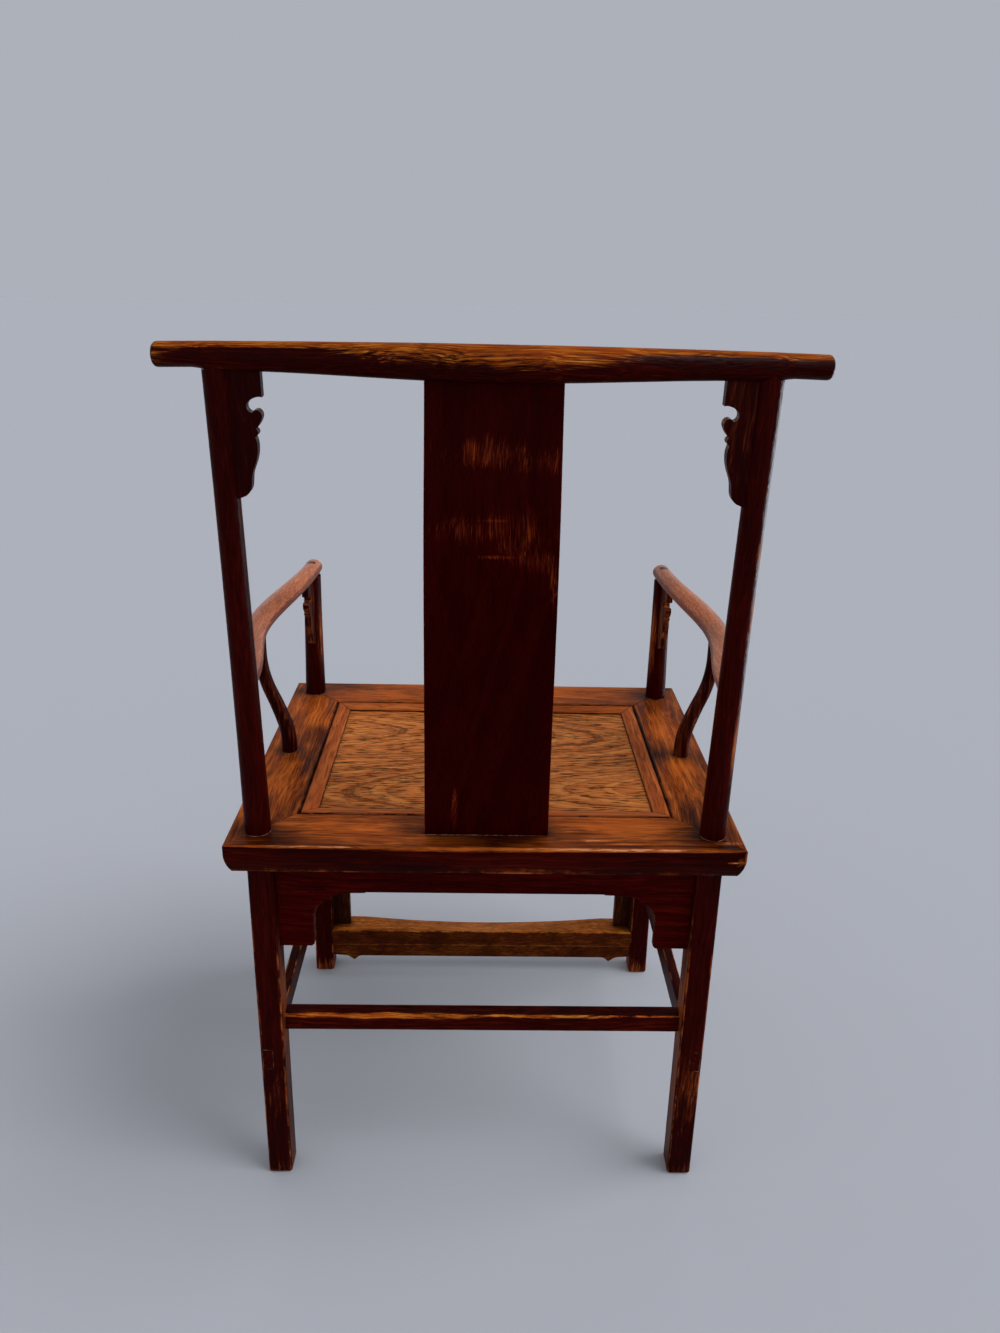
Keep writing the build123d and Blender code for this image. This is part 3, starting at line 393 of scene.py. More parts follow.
        # 1 on an edge rounded at 45 degrees, 0 on a face square to an axis.
        edge = add("MapRange", widest, *EDGE_RANGE)
        coords = add("TexCoord", out="Object")
        knock_noise = add("TexNoise", coords, Scale=1000 / KNOCK_MM, Detail=4.0, Roughness=0.65)
        total = add("Math MULTIPLY", edge, add("MapRange", knock_noise, *KNOCK_RANGE, self.arris))
        for side in self.facings:
            cosine = add("VectorMath DOT_PRODUCT", normal, side.along, out="Value")
            share = add("MapRange", cosine, side.begin, side.full, 0.0, side.strength,
                        interpolation_type="SMOOTHSTEP")
            total = add("Math MAXIMUM", total, share)
        below = add("MapRange", add("SeparateXYZ", coords, out="Z"), self.worn_below * MM,
                    (self.worn_below - FADE_MM) * MM, 0.0, 1.0)
        total = add("Math MULTIPLY", total, below)
        for rub in self.rubs:
            spot = add("Mapping", coords, Location=[v * MM for v in rub.centre],
                       Scale=[v * MM for v in rub.reach], vector_type="TEXTURE")
            ball = add("TexGradient", spot, out="Fac", gradient_type="SPHERICAL")
            share = add("Math MULTIPLY", add("Math MULTIPLY", ball, scratches), rub.strength)
            total = add("Math MAXIMUM", total, share)
        raised = add("Math ADD", total, self.wear_floor)
        rough = add("Math MULTIPLY_ADD", fibres, self.ragged, -self.ragged / 2)
        patchy = add("Math MULTIPLY_ADD", blotch, PATCH_WEAR, rough)
        broken = add("Math MULTIPLY_ADD", raised, WEAR_GAIN, patchy)
        wear = add("MapRange", broken, *WEAR_RANGE, interpolation_type="SMOOTHSTEP")
        gate = add("MapRange", raised, *GATE_RANGE, interpolation_type="SMOOTHSTEP")
        return add("Math MULTIPLY", wear, gate), add("MapRange", raised, *SCUFF_AND_GLINT_RANGE)


# Old rosewood lacquered nearly black-red: deep and smooth, thin and orange where it is rubbed; the orange
# bands across the upper splat are partly painted highlight.
SPLAT_WOOD = WoodFinish(
    name="rubbed_lacquered_rosewood",
    polish=("#1e0000", "#260000", "#300302"), bare=("#300603", "#461005", "#8a3c16"),
    ring_mm=16.0, ring_share=0.45, pith=(10.0, -120.0), tilt=2.0, fibre_mm=1.3, streak_mm=40.0, contrast=0.2,
    pore_depth=0.2, blotch_mm=26.0, blotch_depth=0.3, arris=0.9, ragged=1.1,
    # Bands across the upper splat: rubbed lacquer, and painted highlight where the bow turns the board up to
    # the light.
    rubs=(
        RubAndGlint((0, 250, 938), (84, 60, 24), 0.68), RubAndGlint((22, 250, 940), (26, 60, 16), 0.78),
        RubAndGlint((-44, 250, 932), (40, 60, 22), 0.66), RubAndGlint((20, 250, 866), (60, 60, 24), 0.55),
        RubAndGlint((-36, 250, 858), (44, 60, 46), 0.66), RubAndGlint((28, 250, 864), (9, 60, 26), 0.9),
        RubAndGlint((-28, 250, 862), (11, 60, 28), 0.9), RubAndGlint((4, 250, 873), (44, 60, 3), 0.75),
        RubAndGlint((-8, 250, 836), (40, 60, 3), 0.85), RubAndGlint((-52, 250, 834), (34, 60, 22), 0.7),
        RubAndGlint((-64, 250, 800), (8, 60, 60), 0.8), RubAndGlint((36, 215, 528), (6, 60, 48), 0.9),
    ),
    roughness=0.34, specular=0.008,
)
# Same rosewood turned round for the posts: hand polish gives a long soft streak of light.
POST_WOOD = WoodFinish(
    name="polished_rosewood_post",
    polish=("#1c0101", "#240202", "#340604"), bare=("#3c1208", "#5c240e", "#8a4a24"),
    ring_mm=8.0, contrast=0.2, arris=0.0, wear_floor=0.03, roughness=0.3, specular=0.018,
)
# Curved posts under the arms: thumbs and sleeves have rubbed them brown in streaks.
MIDDLE_POST_WOOD = replace(POST_WOOD, name="rubbed_rosewood_curved_post", wear_floor=0.22)
# Carved spandrels: the same polish, thin and orange along the cut edges.
SPANDREL_WOOD = replace(
    POST_WOOD, name="polished_rosewood_carving", arris=0.9, wear_floor=0.1,
    bare=("#34100a", "#54240e", "#a0521e"))
# Spandrels under the arms: hands have worn them to orange-brown wood.
ARM_SPANDREL_WOOD = replace(
    POST_WOOD, name="hand_worn_rosewood_carving", arris=0.9, wear_floor=0.2,
    bare=("#3c140a", "#682c12", "#ac6430"))
# Rosewood legs, squared: dark red-brown with pale, knocked arrises and dry inner faces.
LEG_WOOD = WoodFinish(
    name="worn_rosewood_leg",
    polish=("#1e0100", "#2a0201", "#400a04"), bare=("#4c1c0a", "#783414", "#b8703c"),
    ring_mm=8.0, ring_share=0.25, contrast=0.15, arris=0.6, worn_below=440.0, wear_floor=0.02, ragged=0.8,
    facings=tuple(Facing((way, 0.0, 0.0), 0.8, 0.99, 0.28) for way in (1.0, -1.0)),
    rubs=(
        *(RubAndGlint((x, y, 0), (60, 60, 40), 0.7) for x, y in ((262, 205), (-262, 205), (265, -210), (-265, -210))),
        *(RubAndGlint((x, 222, 110), (26, 14, 130), 0.36) for x in (262, -262)),
        RubAndGlint((-275, 233, 838), (9, 20, 34), 1.3), RubAndGlint((-275, 227, 770), (6, 16, 60), 0.9),
        # The long thin line down the left post, at x 271, is a painted highlight.
        RubAndGlint((-273, 220, 620), (5, 12, 90), 0.8), RubAndGlint((271, 237, 800), (4, 10, 170), 0.5),
        *(RubAndGlint((x, -206, 590), (8, 18, 80), 0.8) for x in (248, -248)),
    ),
    roughness=0.32, specular=0.018,
)
# Top rail: the crest is rubbed to bright amber and painted brighter still as a highlight along its top and
# middle; the sides keep their dark polish.
RAIL_WOOD = WoodFinish(
    name="rubbed_amber_crest_rosewood",
    polish=("#1a0000", "#280100", "#460c02"), bare=("#461404", "#8c3c08", "#dc882c"),
    ring_mm=5.0, ring_share=0.3, fibre_mm=1.3, streak_mm=60.0, contrast=0.35, arris=0.0,
    # The crest's upward face: worn amber, and painted highlight.
    facings=(Facing((0.0, 0.25, 0.97), 0.52, 0.97, 0.74),),
    # The crest's middle is painted brightest: wear and painted highlight.
    rubs=(RubAndGlint((10, 245, 1043), (190, 40, 30), 2.1), RubAndGlint((318, 232, 1025), (40, 30, 14), 0.5)),
    roughness=0.32, specular=0.018,
)
# Arms: bare, dry and pinkish where hands have taken the polish off.
ARM_WOOD = WoodFinish(
    name="hand_worn_arm_wood",
    polish=("#4c1a0a", "#743216", "#94502c"), bare=("#7c381c", "#a45a38", "#c88058"),
    ring_mm=4.0, ring_share=0.2, streak_mm=34.0, arris=0.0, wear_floor=0.08, fibre_mm=2.4, pore_mm=(5.0, 2.0),
    contrast=0.1, facings=(Facing(UP, 0.2, 0.9, 0.9),), roughness=0.36, worn_roughness=0.38, specular=0.06,
)
# Seat frame of elm: orange-brown on top from wear, dark red polish on its edges, worn pale along the rear
# arris with a painted highlight on that wear, and painted highlight streaks on the rear rail's top.
FRAME_WOOD = WoodFinish(
    name="polished_elm_seat_frame",
    polish=("#240100", "#340502", "#501204"), bare=("#803612", "#a85018", "#c87430"),
    ring_mm=7.0, ring_share=0.5, pith=(120.0, -200.0), tilt=1.5, contrast=0.1, fibre_mm=3.0, arris=0.45,
    ragged=0.9, wander=0.8, pore_mm=(34.0, 2.2), pore_depth=0.5, line_depth=0.6, blotch_mm=75.0,
    # Round the posts and in the grooves the frame darkens: dirt and painted shade.
    blotch_depth=0.75, dirt_and_shade=0.97, dirt_and_shade_mm=46.0, facings=(Facing(UP, 0.6, 0.95, 0.4),),
    rubs=(
        RubAndGlint((0, -225, 504), (420, 130, 16), 1.6), RubAndGlint((170, 184, 504), (130, 34, 16), 1.5),
        RubAndGlint((-180, 186, 504), (130, 38, 16), 1.7), RubAndGlint((262, 50, 504), (46, 100, 16), 1.5),
        RubAndGlint((-262, 60, 504), (46, 120, 16), 1.6), RubAndGlint((-262, -120, 504), (46, 90, 16), 1.4),
        RubAndGlint((-289, 240, 484), (8, 12, 13), 1.2), RubAndGlint((40, 238, 499), (230, 5, 5), 1.6),
        # Along the rear arris: a worn edge with a painted pale highlight on it.
        RubAndGlint((-150, 237.8, 499.6), (190, 3.4, 3.4), 6.5), RubAndGlint((190, 237.8, 499.6), (120, 2.6, 2.6), 5.0),
        RubAndGlint((-294, 236, 490), (2.5, 3.5, 16), 6.0), RubAndGlint((-283, 238, 484), (12, 3, 1.6), 4.0),
        # The corner's wear, then pale streaks on the rear rail's top that are painted highlights.
        RubAndGlint((-276, 222, 500), (20, 5, 3), 4.5), RubAndGlint((-120, 219, 500), (46, 3.5, 3), 4.5),
        RubAndGlint((-185, 212, 500), (36, 3.5, 3), 4.5), RubAndGlint((-160, 226, 500), (30, 3, 3), 4.5),
    ),
    roughness=0.32, specular=0.015,
)
# The strips round the panel are cut from lighter, yellower wood of the same tree.
STRIP_WOOD = replace(
    FRAME_WOOD, name="polished_elm_strip", bare=("#743010", "#9c4c20", "#c4743c"), blotch_depth=0.4,
    # The grooves beside the strips darken: dirt and painted shade.
    arris=0.8, dirt_and_shade=1.0, dirt_and_shade_mm=9.0, facings=(Facing(UP, 0.6, 0.95, 1.0),))
# Seat panel of plain-sawn elm: brown with fine dark lines and arched figure.
PANEL_WOOD = WoodFinish(
    name="plain_sawn_elm_panel_front",
    polish=("#904a22", "#b46630", "#d08c48"), bare=("#6c3e1e", "#a46a38", "#c89050"),
    ring_mm=5.0, ring_share=0.6, pith=(80.0, -380.0), tilt=5.0, wander=0.4, fibre_mm=2.6, pore_mm=(20.0, 2.5),
    # The panel darkens at its edges beside the strips: painted shade.
    pore_depth=0.95, line_depth=0.75, contrast=0.15, blotch_depth=0.35, arris=0.2, dirt_and_shade=0.95, dirt_and_shade_mm=28.0,
    roughness=0.5, specular=0.01,
)
# The second board of the same log, cut beside the first.
PANEL_REAR_WOOD = replace(PANEL_WOOD, name="plain_sawn_elm_panel_rear", pith=(-90.0, -385.0), tilt=-6.0)
# Aprons and brackets: dark red polish, hardly worn because nothing touches them.
APRON_WOOD = WoodFinish(
    name="dark_polished_apron_wood",
    polish=("#260000", "#360201", "#4c0a04"), bare=("#3c160a", "#603018", "#8c5830"),
    ring_mm=8.0, ring_share=0.3, arris=0.7, specular=0.01,
)
# Stretchers: feet and brooms have worn the upper arris through to orange wood.
STRETCHER_WOOD = WoodFinish(
    name="scuffed_stretcher_wood",
    polish=("#200101", "#300301", "#4e1204"), bare=("#5e2408", "#ac5014", "#dc8c34"),
    ring_mm=5.0, ring_share=0.3, streak_mm=45.0, arris=0.8, roughness=0.34, specular=0.015,
    rubs=(RubAndGlint((120, 205.5, 240), (190, 6, 6), 1.5), RubAndGlint((-80, 205.5, 240), (130, 5, 4), 1.1)),
)
# Footrest: worn back to golden-brown wood by feet.
FOOTREST_WOOD = WoodFinish(
    name="foot_worn_footrest_wood",
    polish=("#321004", "#4c1e07", "#6e3c10"), bare=("#642a0a", "#a2561a", "#d08a3c"),
    ring_mm=6.0, fibre_mm=3.0, streak_mm=16.0, contrast=0.15, pore_mm=(9.0, 2.0), pore_depth=0.5,
    # Corners of the footrest darken: dirt and painted shade.
    blotch_mm=22.0, blotch_depth=0.6, arris=1.1, wear_floor=0.06, dirt_and_shade=0.7, dirt_and_shade_mm=14.0,
    facings=(Facing(UP, 0.5, 0.95, 1.1),), roughness=0.5, specular=0.02,
)
# Upright boards of the front apron: the footrest's wood under darker, mottled polish.
UPRIGHT_WOOD = replace(
    FOOTREST_WOOD, name="mottled_front_apron_wood", polish=("#200702", "#341205", "#54280c"), facings=(),
    arris=0.6, wear_floor=0.04)


@dataclass(frozen=True)
class WaxResidue:
    """Old wax and dust dried white in a corner: chalky, no gloss."""

    name: str = "dried_wax_and_dust"
    pale: str = "#6c5244"
    dull: str = "#38180e"
    patch_mm: float = 6.0

    def material(self) -> bpy.types.Material:
        """Build the material.

        Returns:
            A matt, broken white that fades into the wood's own brown.
        """
        material = bpy.data.materials.new(self.name)
        add = blank(material)
        coords = add("TexCoord", out="Object")
        noise = add("TexNoise", coords, Scale=1000 / self.patch_mm, Detail=3.0)
        colour = set_ramp(add("ValToRGB", noise, out=None), (
            (0.42, linear(self.dull)), (0.58, linear(self.pale))))
        add("OutputMaterial", add("BsdfPrincipled", colour, Roughness=0.85, Specular_IOR_Level=0.1), out=None)
        return material


# -------- mesh helpers
MERGE_MM = 0.004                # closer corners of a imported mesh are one
FLAT_DEGREES = 0.35             # faces that turn by less than this are one


def new_object(name: str, data: bpy.types.ID) -> Piece:
    """Make an object and link it to the scene.

    Args:
        name: its name.
        data: its mesh, curve, lamp or camera.

    Returns:
        The object.
    """
    made = bpy.data.objects.new(name, data)
    bpy.context.scene.collection.objects.link(made)
    return made


def seat_piece(piece: Piece, slot: str, *nodes: str) -> Piece:
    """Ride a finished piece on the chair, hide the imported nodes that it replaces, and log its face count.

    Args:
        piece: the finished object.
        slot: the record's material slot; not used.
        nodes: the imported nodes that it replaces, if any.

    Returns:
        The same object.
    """
    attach(piece, BODY)
    if nodes:
        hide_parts(*nodes)
    LOG.info("%s: %d faces", piece.name, len(piece.data.polygons))
    return piece


def settle(piece: Piece) -> Piece:
    """Turn an object with live modifiers into a plain mesh object of the same name.

    Args:
        piece: the object, at the origin.

    Returns:
        The plain object that takes its place.
    """
    bpy.context.view_layer.update()
    depsgraph = bpy.context.evaluated_depsgraph_get()
    mesh = bpy.data.meshes.new_from_object(piece.evaluated_get(depsgraph))
    name = piece.name
    bpy.data.objects.remove(piece)
    mesh.name = name
    return new_object(name, mesh)


def shade(mesh: Mesh, sharp_angle: float = 40.0) -> None:
    """Shade a mesh smooth up to an angle in degrees."""
    mesh.shade_smooth()
    mesh.set_sharp_from_angle(angle=math.radians(sharp_angle))


def round_arrises(mesh: Mesh, width_mm: float, sharp_angle: float = 38.0, packed: bool = True) -> None:
    """Round a mesh's hard edges as hands and brooms do.

    Args:
        mesh: the mesh to change.
        width_mm: how far the rounding reaches in from the edge.
        sharp_angle: an edge that turns by more than this many degrees is rounded.
        packed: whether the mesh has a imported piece's seams and flat triangles, to be cleaned first.
    """
    work = bmesh.new()
    work.from_mesh(mesh)
    if packed:
        bmesh.ops.remove_doubles(work, verts=work.verts, dist=MERGE_MM * MM)
        bmesh.ops.dissolve_limit(
            work, angle_limit=math.radians(FLAT_DEGREES), verts=work.verts, edges=work.edges,
            use_dissolve_boundaries=False)
    hard = [
        edge for edge in work.edges
        if len(edge.link_faces) == 2 and edge.calc_face_angle(0.0) > math.radians(sharp_angle)
    ]
    bmesh.ops.bevel(
        work, geom=hard, offset=width_mm * MM, offset_type="OFFSET", segments=3, profile=0.5,
        affect="EDGES", clamp_overlap=True, loop_slide=packed)
    work.to_mesh(mesh)
    work.free()
    if "custom_normal" in mesh.attributes:
        mesh.attributes.remove(mesh.attributes["custom_normal"])
    shade(mesh)


def dressed(node: str, arris_mm: float, finish: WoodFinish, grain: Grain, slot: str,
            shape: Callable[[Mesh], None] | None = None) -> Piece:
    """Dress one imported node: a rounded copy with flat faces kept flat, in its finish.

    Args:
        node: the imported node.
        arris_mm: the rounding of its hard edges.
        finish: the wood.
        grain: the way the fibres run.
        slot: the record's material slot.
        shape: changes the copy before it is rounded.

    Returns:
        The piece that replaces the node.
    """
    mesh = bpy.data.objects[node].data.copy()
    if shape:
        shape(mesh)
    round_arrises(mesh, arris_mm)
    mesh.materials.clear()
    mesh.materials.append(finish.material(grain))
    piece = new_object(f"{node}_wood", mesh)
    weighted = piece.modifiers.new("flat faces stay flat", "WEIGHTED_NORMAL")
    weighted.keep_sharp = True
    weighted.weight = 100
    return seat_piece(settle(piece), slot, node)


def new_tree(name: str, *sizes: str) -> tuple[Tree, Adder, bpy.types.NodeOutputs]:
    """Start a geometry tree with a geometry input, named sizes, a material and a geometry output.

    Args:
        name: the tree's name.
        sizes: the name of each size.

    Returns:
        The tree, add_node for it, and the inputs as sockets that feed its nodes.
    """
    tree = bpy.data.node_groups.new(name, "GeometryNodeTree")
    sockets = tree.interface
    sockets.new_socket("Geometry", in_out="INPUT", socket_type="NodeSocketGeometry")
    for size in sizes:
        sockets.new_socket(size, in_out="INPUT", socket_type="NodeSocketFloat")
    sockets.new_socket("Material", in_out="INPUT", socket_type="NodeSocketMaterial")
    sockets.new_socket("Geometry", in_out="OUTPUT", socket_type="NodeSocketGeometry")
    add = partial(add_node, tree)
    return tree, add, add("NodeGroupInput", out=None).outputs


def end_tree(add: Adder, shape: Socket, size: bpy.types.NodeOutputs) -> None:
    """Close a geometry tree: real geometry in its material.

    Args:
        add: add_node for the tree.
        shape: the socket with the finished geometry.
        size: the tree's inputs.
    """
    real = add("GeometryNodeRealizeInstances", shape)
    add("NodeGroupOutput", add("GeometryNodeSetMaterial", real, Material=size["Material"]), out=None)


def grow(base: Piece, tree: Tree, values: dict[str, Any]) -> Piece:
    """Run a geometry tree on an object and keep the result as a plain mesh.

    Args:
        base: the object that carries the tree.
        tree: the geometry tree.
        values: input name to value.

    Returns:
        The plain object.
    """
    modifier = base.modifiers.new(tree.name, "NODES")
    modifier.node_group = tree
    for item in tree.interface.items_tree:
        if item.item_type == "SOCKET" and item.in_out == "INPUT" and item.name in values:
            modifier[item.identifier] = values[item.name]
    piece = settle(base)
    piece.data.materials.clear()
    piece.data.materials.append(values["Material"])
    piece.data.polygons.foreach_set("material_index", [0] * len(piece.data.polygons))
    return piece


# -------- sub-assemblies
@dataclass
class Back:
    """Top rail, splat and the carved spandrels under the rail."""

    splat_foot_width: float = 142.0
    splat_head_width: float = 133.0
    splat_thickness: float = 13.0
    splat_foot: float = 500.0
    splat_top: float = 1021.0
    splat_head: float = 1008.0
    splat_y: float = 202.75
    splat_arris: float = 1.5
    splat_sharp: float = 57.3       # degrees: an edge that turns by more is rounded
    lean: float = 29.0
    lean_curve: float = 1.35
    bow: float = 16.5
    bow_peak: float = 0.64
    rail_length: float = 640.0
    rail_thick_half: float = 276.5
    rail_heights: Point = (35.0, 26.5, 23.5)       # middle, shoulder, end
    rail_depths: Point = (36.0, 28.0, 24.5)
    rail_y: float = 231.75
    rail_bow: float = 4.0
    rail_end_round: float = 4.5
    rail_sharp: float = 60.0
    crest: float = 1038.5
    crest_fall: float = 2.5
    end_fall: float = 1.0
    shoulder_blend: tuple[float, float] = (12.0, 8.0)       # before and past the end of the thick part
    squareness: float = 0.72        # of the thick part's section: 1 is round, 0 is square
    spandrel_arris: float = 0.9

    def build(self) -> None:
        """Build and dress the back."""
        self.rail()
        self.splat()
        for side, _ in SIDES:
            dressed(f"top_spandrel_{side}", self.spandrel_arris, SPANDREL_WOOD, Grain.UPRIGHT, "post_wood")

    def rail(self) -> Piece:
        """Draw the yoke out by its rule and round its ends.

        Returns:
            The top rail.
        """
        sizes = {
            "Length": self.rail_length, "Thick Half": self.rail_thick_half, "Crest": self.crest,
            "Fall": self.crest_fall, "End Fall": self.end_fall, "Back": self.rail_y, "Bow": self.rail_bow,
        }
        for extent, spans in (("Height", self.rail_heights), ("Depth", self.rail_depths)):
            for where, span in zip(("Middle", "Shoulder", "End"), spans):
                sizes[f"{where} {extent}"] = span
        values = {name: value * MM for name, value in sizes.items()}
        base = new_object("top_rail_wood", bpy.data.meshes.new("rail_seed"))
        piece = grow(base, self.rail_tree(), {**values, "Material": RAIL_WOOD.material(Grain.ACROSS)})
        round_arrises(piece.data, self.rail_end_round, self.rail_sharp)
        return seat_piece(piece, "top_rail_wood", "top_rail")

    def rail_tree(self) -> Tree:
        """A bar along X, thick and squarish in the middle, thin and round at both ends.

        Returns:
            The geometry tree.
        """
        tree, add, size = new_tree(
            "yoke rail", "Length", "Thick Half", "Middle Height", "Shoulder Height", "End Height",
            "Middle Depth", "Shoulder Depth", "End Depth", "Crest", "Fall", "End Fall", "Back", "Bow")
        bar = add("GeometryNodeMeshCylinder", Vertices=56, Side_Segments=90, Radius=1.0, Depth=2.0,
                  fill_type="NGON")
        spot = add("SeparateXYZ", add("GeometryNodeInputPosition"), out=None).outputs
        half = add("Math MULTIPLY", size["Length"], 0.5)
        x = add("Math MULTIPLY", spot[2], half)
        away = add("Math ABSOLUTE", x)
        share = add("MapRange", away, 0.0, size["Thick Half"], 0.0, 1.0)
        swell = add("MapRange", add("Math COSINE", add("Math MULTIPLY", share, math.pi)), -1.0, 1.0, 0.0, 1.0)
        near = add("Math SUBTRACT", size["Thick Half"], self.shoulder_blend[0] * MM)
        far = add("Math ADD", size["Thick Half"], self.shoulder_blend[1] * MM)
        thin = add("MapRange", away, near, far, 0.0, 1.0, interpolation_type="SMOOTHSTEP")
        # A power under 1 swells a round section towards a square.
        power = add("MapRange", thin, 0.0, 1.0, self.squareness, 1.0)
        sides, spans = [], []
        for axis, extent in enumerate(("Depth", "Height")):
            thick = add("MapRange", swell, 0.0, 1.0, size[f"Shoulder {extent}"], size[f"Middle {extent}"])
            spans.append(add("MapRange", thin, 0.0, 1.0, thick, size[f"End {extent}"]))
            reach = add("Math POWER", add("Math ABSOLUTE", spot[axis]), power)
            signed = add("Math MULTIPLY", reach, add("Math SIGN", spot[axis]))
            sides.append(add("Math MULTIPLY", signed, add("Math MULTIPLY", spans[axis], 0.5)))
        square = add("Math MULTIPLY", share, share)
        end_fall = add("MapRange", away, size["Thick Half"], half, 0.0, size["End Fall"])
        crest = add("Math SUBTRACT", size["Crest"], add("Math MULTIPLY_ADD", square, size["Fall"], end_fall))
        middle = add("Math MULTIPLY_ADD", spans[1], -0.5, crest)
        bowed = add("Math MULTIPLY_ADD", add("Math SUBTRACT", 1.0, square), size["Bow"], size["Back"])
        place = add("CombineXYZ", x, add("Math ADD", sides[0], bowed), add("Math ADD", sides[1], middle))
        end_tree(add, add("GeometryNodeSetPosition", bar, Position=place), size)
        return tree

    def splat(self) -> Piece:
        """Bend a tapered board by its rule and round its edges.

        Returns:
            The splat.
        """
        reach = (self.splat_head - self.splat_foot) / (self.splat_top - self.splat_foot)
        piece = grow(new_object("back_splat_wood", bpy.data.meshes.new("splat_seed")), self.splat_tree(), {
            "Foot Width": self.splat_foot_width * MM, "Head Width": self.splat_head_width * MM,
            "Thickness": self.splat_thickness * MM, "Foot": self.splat_foot * MM,
            "Top": self.splat_top * MM, "Reach": reach, "Back": self.splat_y * MM,
            "Lean": self.lean * MM, "Lean Curve": self.lean_curve, "Bow": self.bow * MM,
            "Bow Peak": self.bow_peak, "Material": SPLAT_WOOD.material(Grain.UPRIGHT),
        })
        round_arrises(piece.data, self.splat_arris, self.splat_sharp, packed=False)
        return seat_piece(piece, "splat_wood", "back_splat")

    @staticmethod
    def splat_tree() -> Tree:
        """A board along Z, tapered in width, leaned back and bowed by a warped sine.

        Returns:
            The geometry tree.
        """
        tree, add, size = new_tree(
            "bowed tapered board", "Foot Width", "Head Width", "Thickness", "Foot", "Top", "Reach", "Back",
            "Lean", "Lean Curve", "Bow", "Bow Peak")
        block = add("GeometryNodeMeshCube", (1.0, 1.0, 1.0), Vertices_X=13, Vertices_Y=2, Vertices_Z=73)
        spot = add("SeparateXYZ", add("GeometryNodeInputPosition"), out=None).outputs
        up = add("Math MULTIPLY", add("Math ADD", spot[2], 0.5), size["Reach"])
        width = add("MapRange", up, 0.0, 1.0, size["Foot Width"], size["Head Width"])
        x = add("Math MULTIPLY", spot[0], width)
        z = add("MapRange", up, 0.0, 1.0, size["Foot"], size["Top"])
        lean = add("Math MULTIPLY", add("Math POWER", up, size["Lean Curve"]), size["Lean"])
        low = add("MapRange", up, 0.0, size["Bow Peak"], 0.0, 0.5, clamp=False)
        high = add("MapRange", up, size["Bow Peak"], 1.0, 0.5, 1.0, clamp=False)
        sine = add("Math SINE", add("Math MULTIPLY", add("Math MAXIMUM", low, high), math.pi))
        bowed = add("Math MULTIPLY_ADD", add("Math MULTIPLY", sine, sine), size["Bow"], lean)
        y = add("Math MULTIPLY_ADD", spot[1], size["Thickness"], add("Math ADD", bowed, size["Back"]))
        place = add("CombineXYZ", x, y, z)
        end_tree(add, add("GeometryNodeSetPosition", block, Position=place), size)
        return tree


@dataclass
class Arms:
    """Arms, their curved middle posts and the carved spandrels under them."""

    post_foot_x: float = 264.0
    post_top_x: float = 292.75
    post_y: float = -9.25
    seat_top: float = 500.0
    arm_centre: float = 682.6
    post_share: float = 0.962       # the post ends inside the arm, this far up to its centre line
    foot_diameter: float = 21.5
    top_diameter: float = 14.5
    taper: float = 0.8
    arris: float = 0.8
    course: tuple[tuple[float, float], ...] = (
        (0.0, 0.0), (0.10, 0.015), (0.19, 0.08), (0.30, 0.28), (0.40, 0.50), (0.54, 0.83), (0.68, 1.02),
        (0.83, 1.06), (1.0, 1.0))

    def build(self) -> None:
        """Build and dress both arms."""
        tree = self.post_tree()
        for side, sign in SIDES:
            dressed(f"armrest_{side}", self.arris, ARM_WOOD, Grain.DEEP, "arm_wood")
            dressed(f"arm_spandrel_{side}", self.arris, ARM_SPANDREL_WOOD, Grain.UPRIGHT, "post_wood")
            self.middle_post(side, sign, tree)

    def middle_post(self, side: str, sign: int, tree: Tree) -> Piece:
        """Sweep one curved post from the seat into the arm.

        Args:
            side: left or right.
            sign: 1 on the left, -1 on the right.
            tree: the post's geometry tree.

        Returns:
            The post.
        """
        name = f"middle_post_{side}_wood"
        curve = bpy.data.curves.new(name, "CURVE")
        curve.dimensions = "3D"
        spline = curve.splines.new("BEZIER")
        spline.bezier_points.add(len(self.course) - 1)
        for point, (up, out) in zip(spline.bezier_points, self.course):
            x = self.post_foot_x + (self.post_top_x - self.post_foot_x) * out
            z = self.seat_top + (self.arm_centre - self.seat_top) * up * self.post_share
            point.co = (sign * x * MM, self.post_y * MM, z * MM)
            point.handle_left_type = point.handle_right_type = "AUTO"
        piece = grow(new_object(name, curve), tree, {
            "Foot Radius": self.foot_diameter / 2 * MM, "Top Radius": self.top_diameter / 2 * MM,
            "Taper": self.taper, "Material": MIDDLE_POST_WOOD.material(Grain.UPRIGHT)})
        shade(piece.data)
        return seat_piece(piece, "post_wood", f"middle_post_{side}")

    @staticmethod
    def post_tree() -> Tree:
        """A round post swept along its path, thinning towards the top.

        Returns:
            The geometry tree.
        """
        tree, add, size = new_tree("curved tapered post", "Foot Radius", "Top Radius", "Taper")
        path = add("GeometryNodeResampleCurve", size["Geometry"], Count=80)
        up = add("GeometryNodeSplineParameter", out="Factor")
        share = add("Math POWER", up, size["Taper"])
        radius = add("MapRange", share, 0.0, 1.0, size["Foot Radius"], size["Top Radius"])
        profile = add("GeometryNodeCurvePrimitiveCircle", Resolution=40, Radius=1.0)
        sweep = add("GeometryNodeCurveToMesh", path, Profile_Curve=profile, Scale=radius, Fill_Caps=True)
        end_tree(add, sweep, size)
        return tree


@dataclass
class Legs:
    """Legs with the posts above them, one piece each."""

    arris: float = 1.0

    def build(self) -> None:
        """Dress the four legs."""
        for side, _ in SIDES:
            for end in ("rear", "front"):
                dressed(f"{end}_leg_{side}", self.arris, LEG_WOOD, Grain.UPRIGHT, "post_wood")


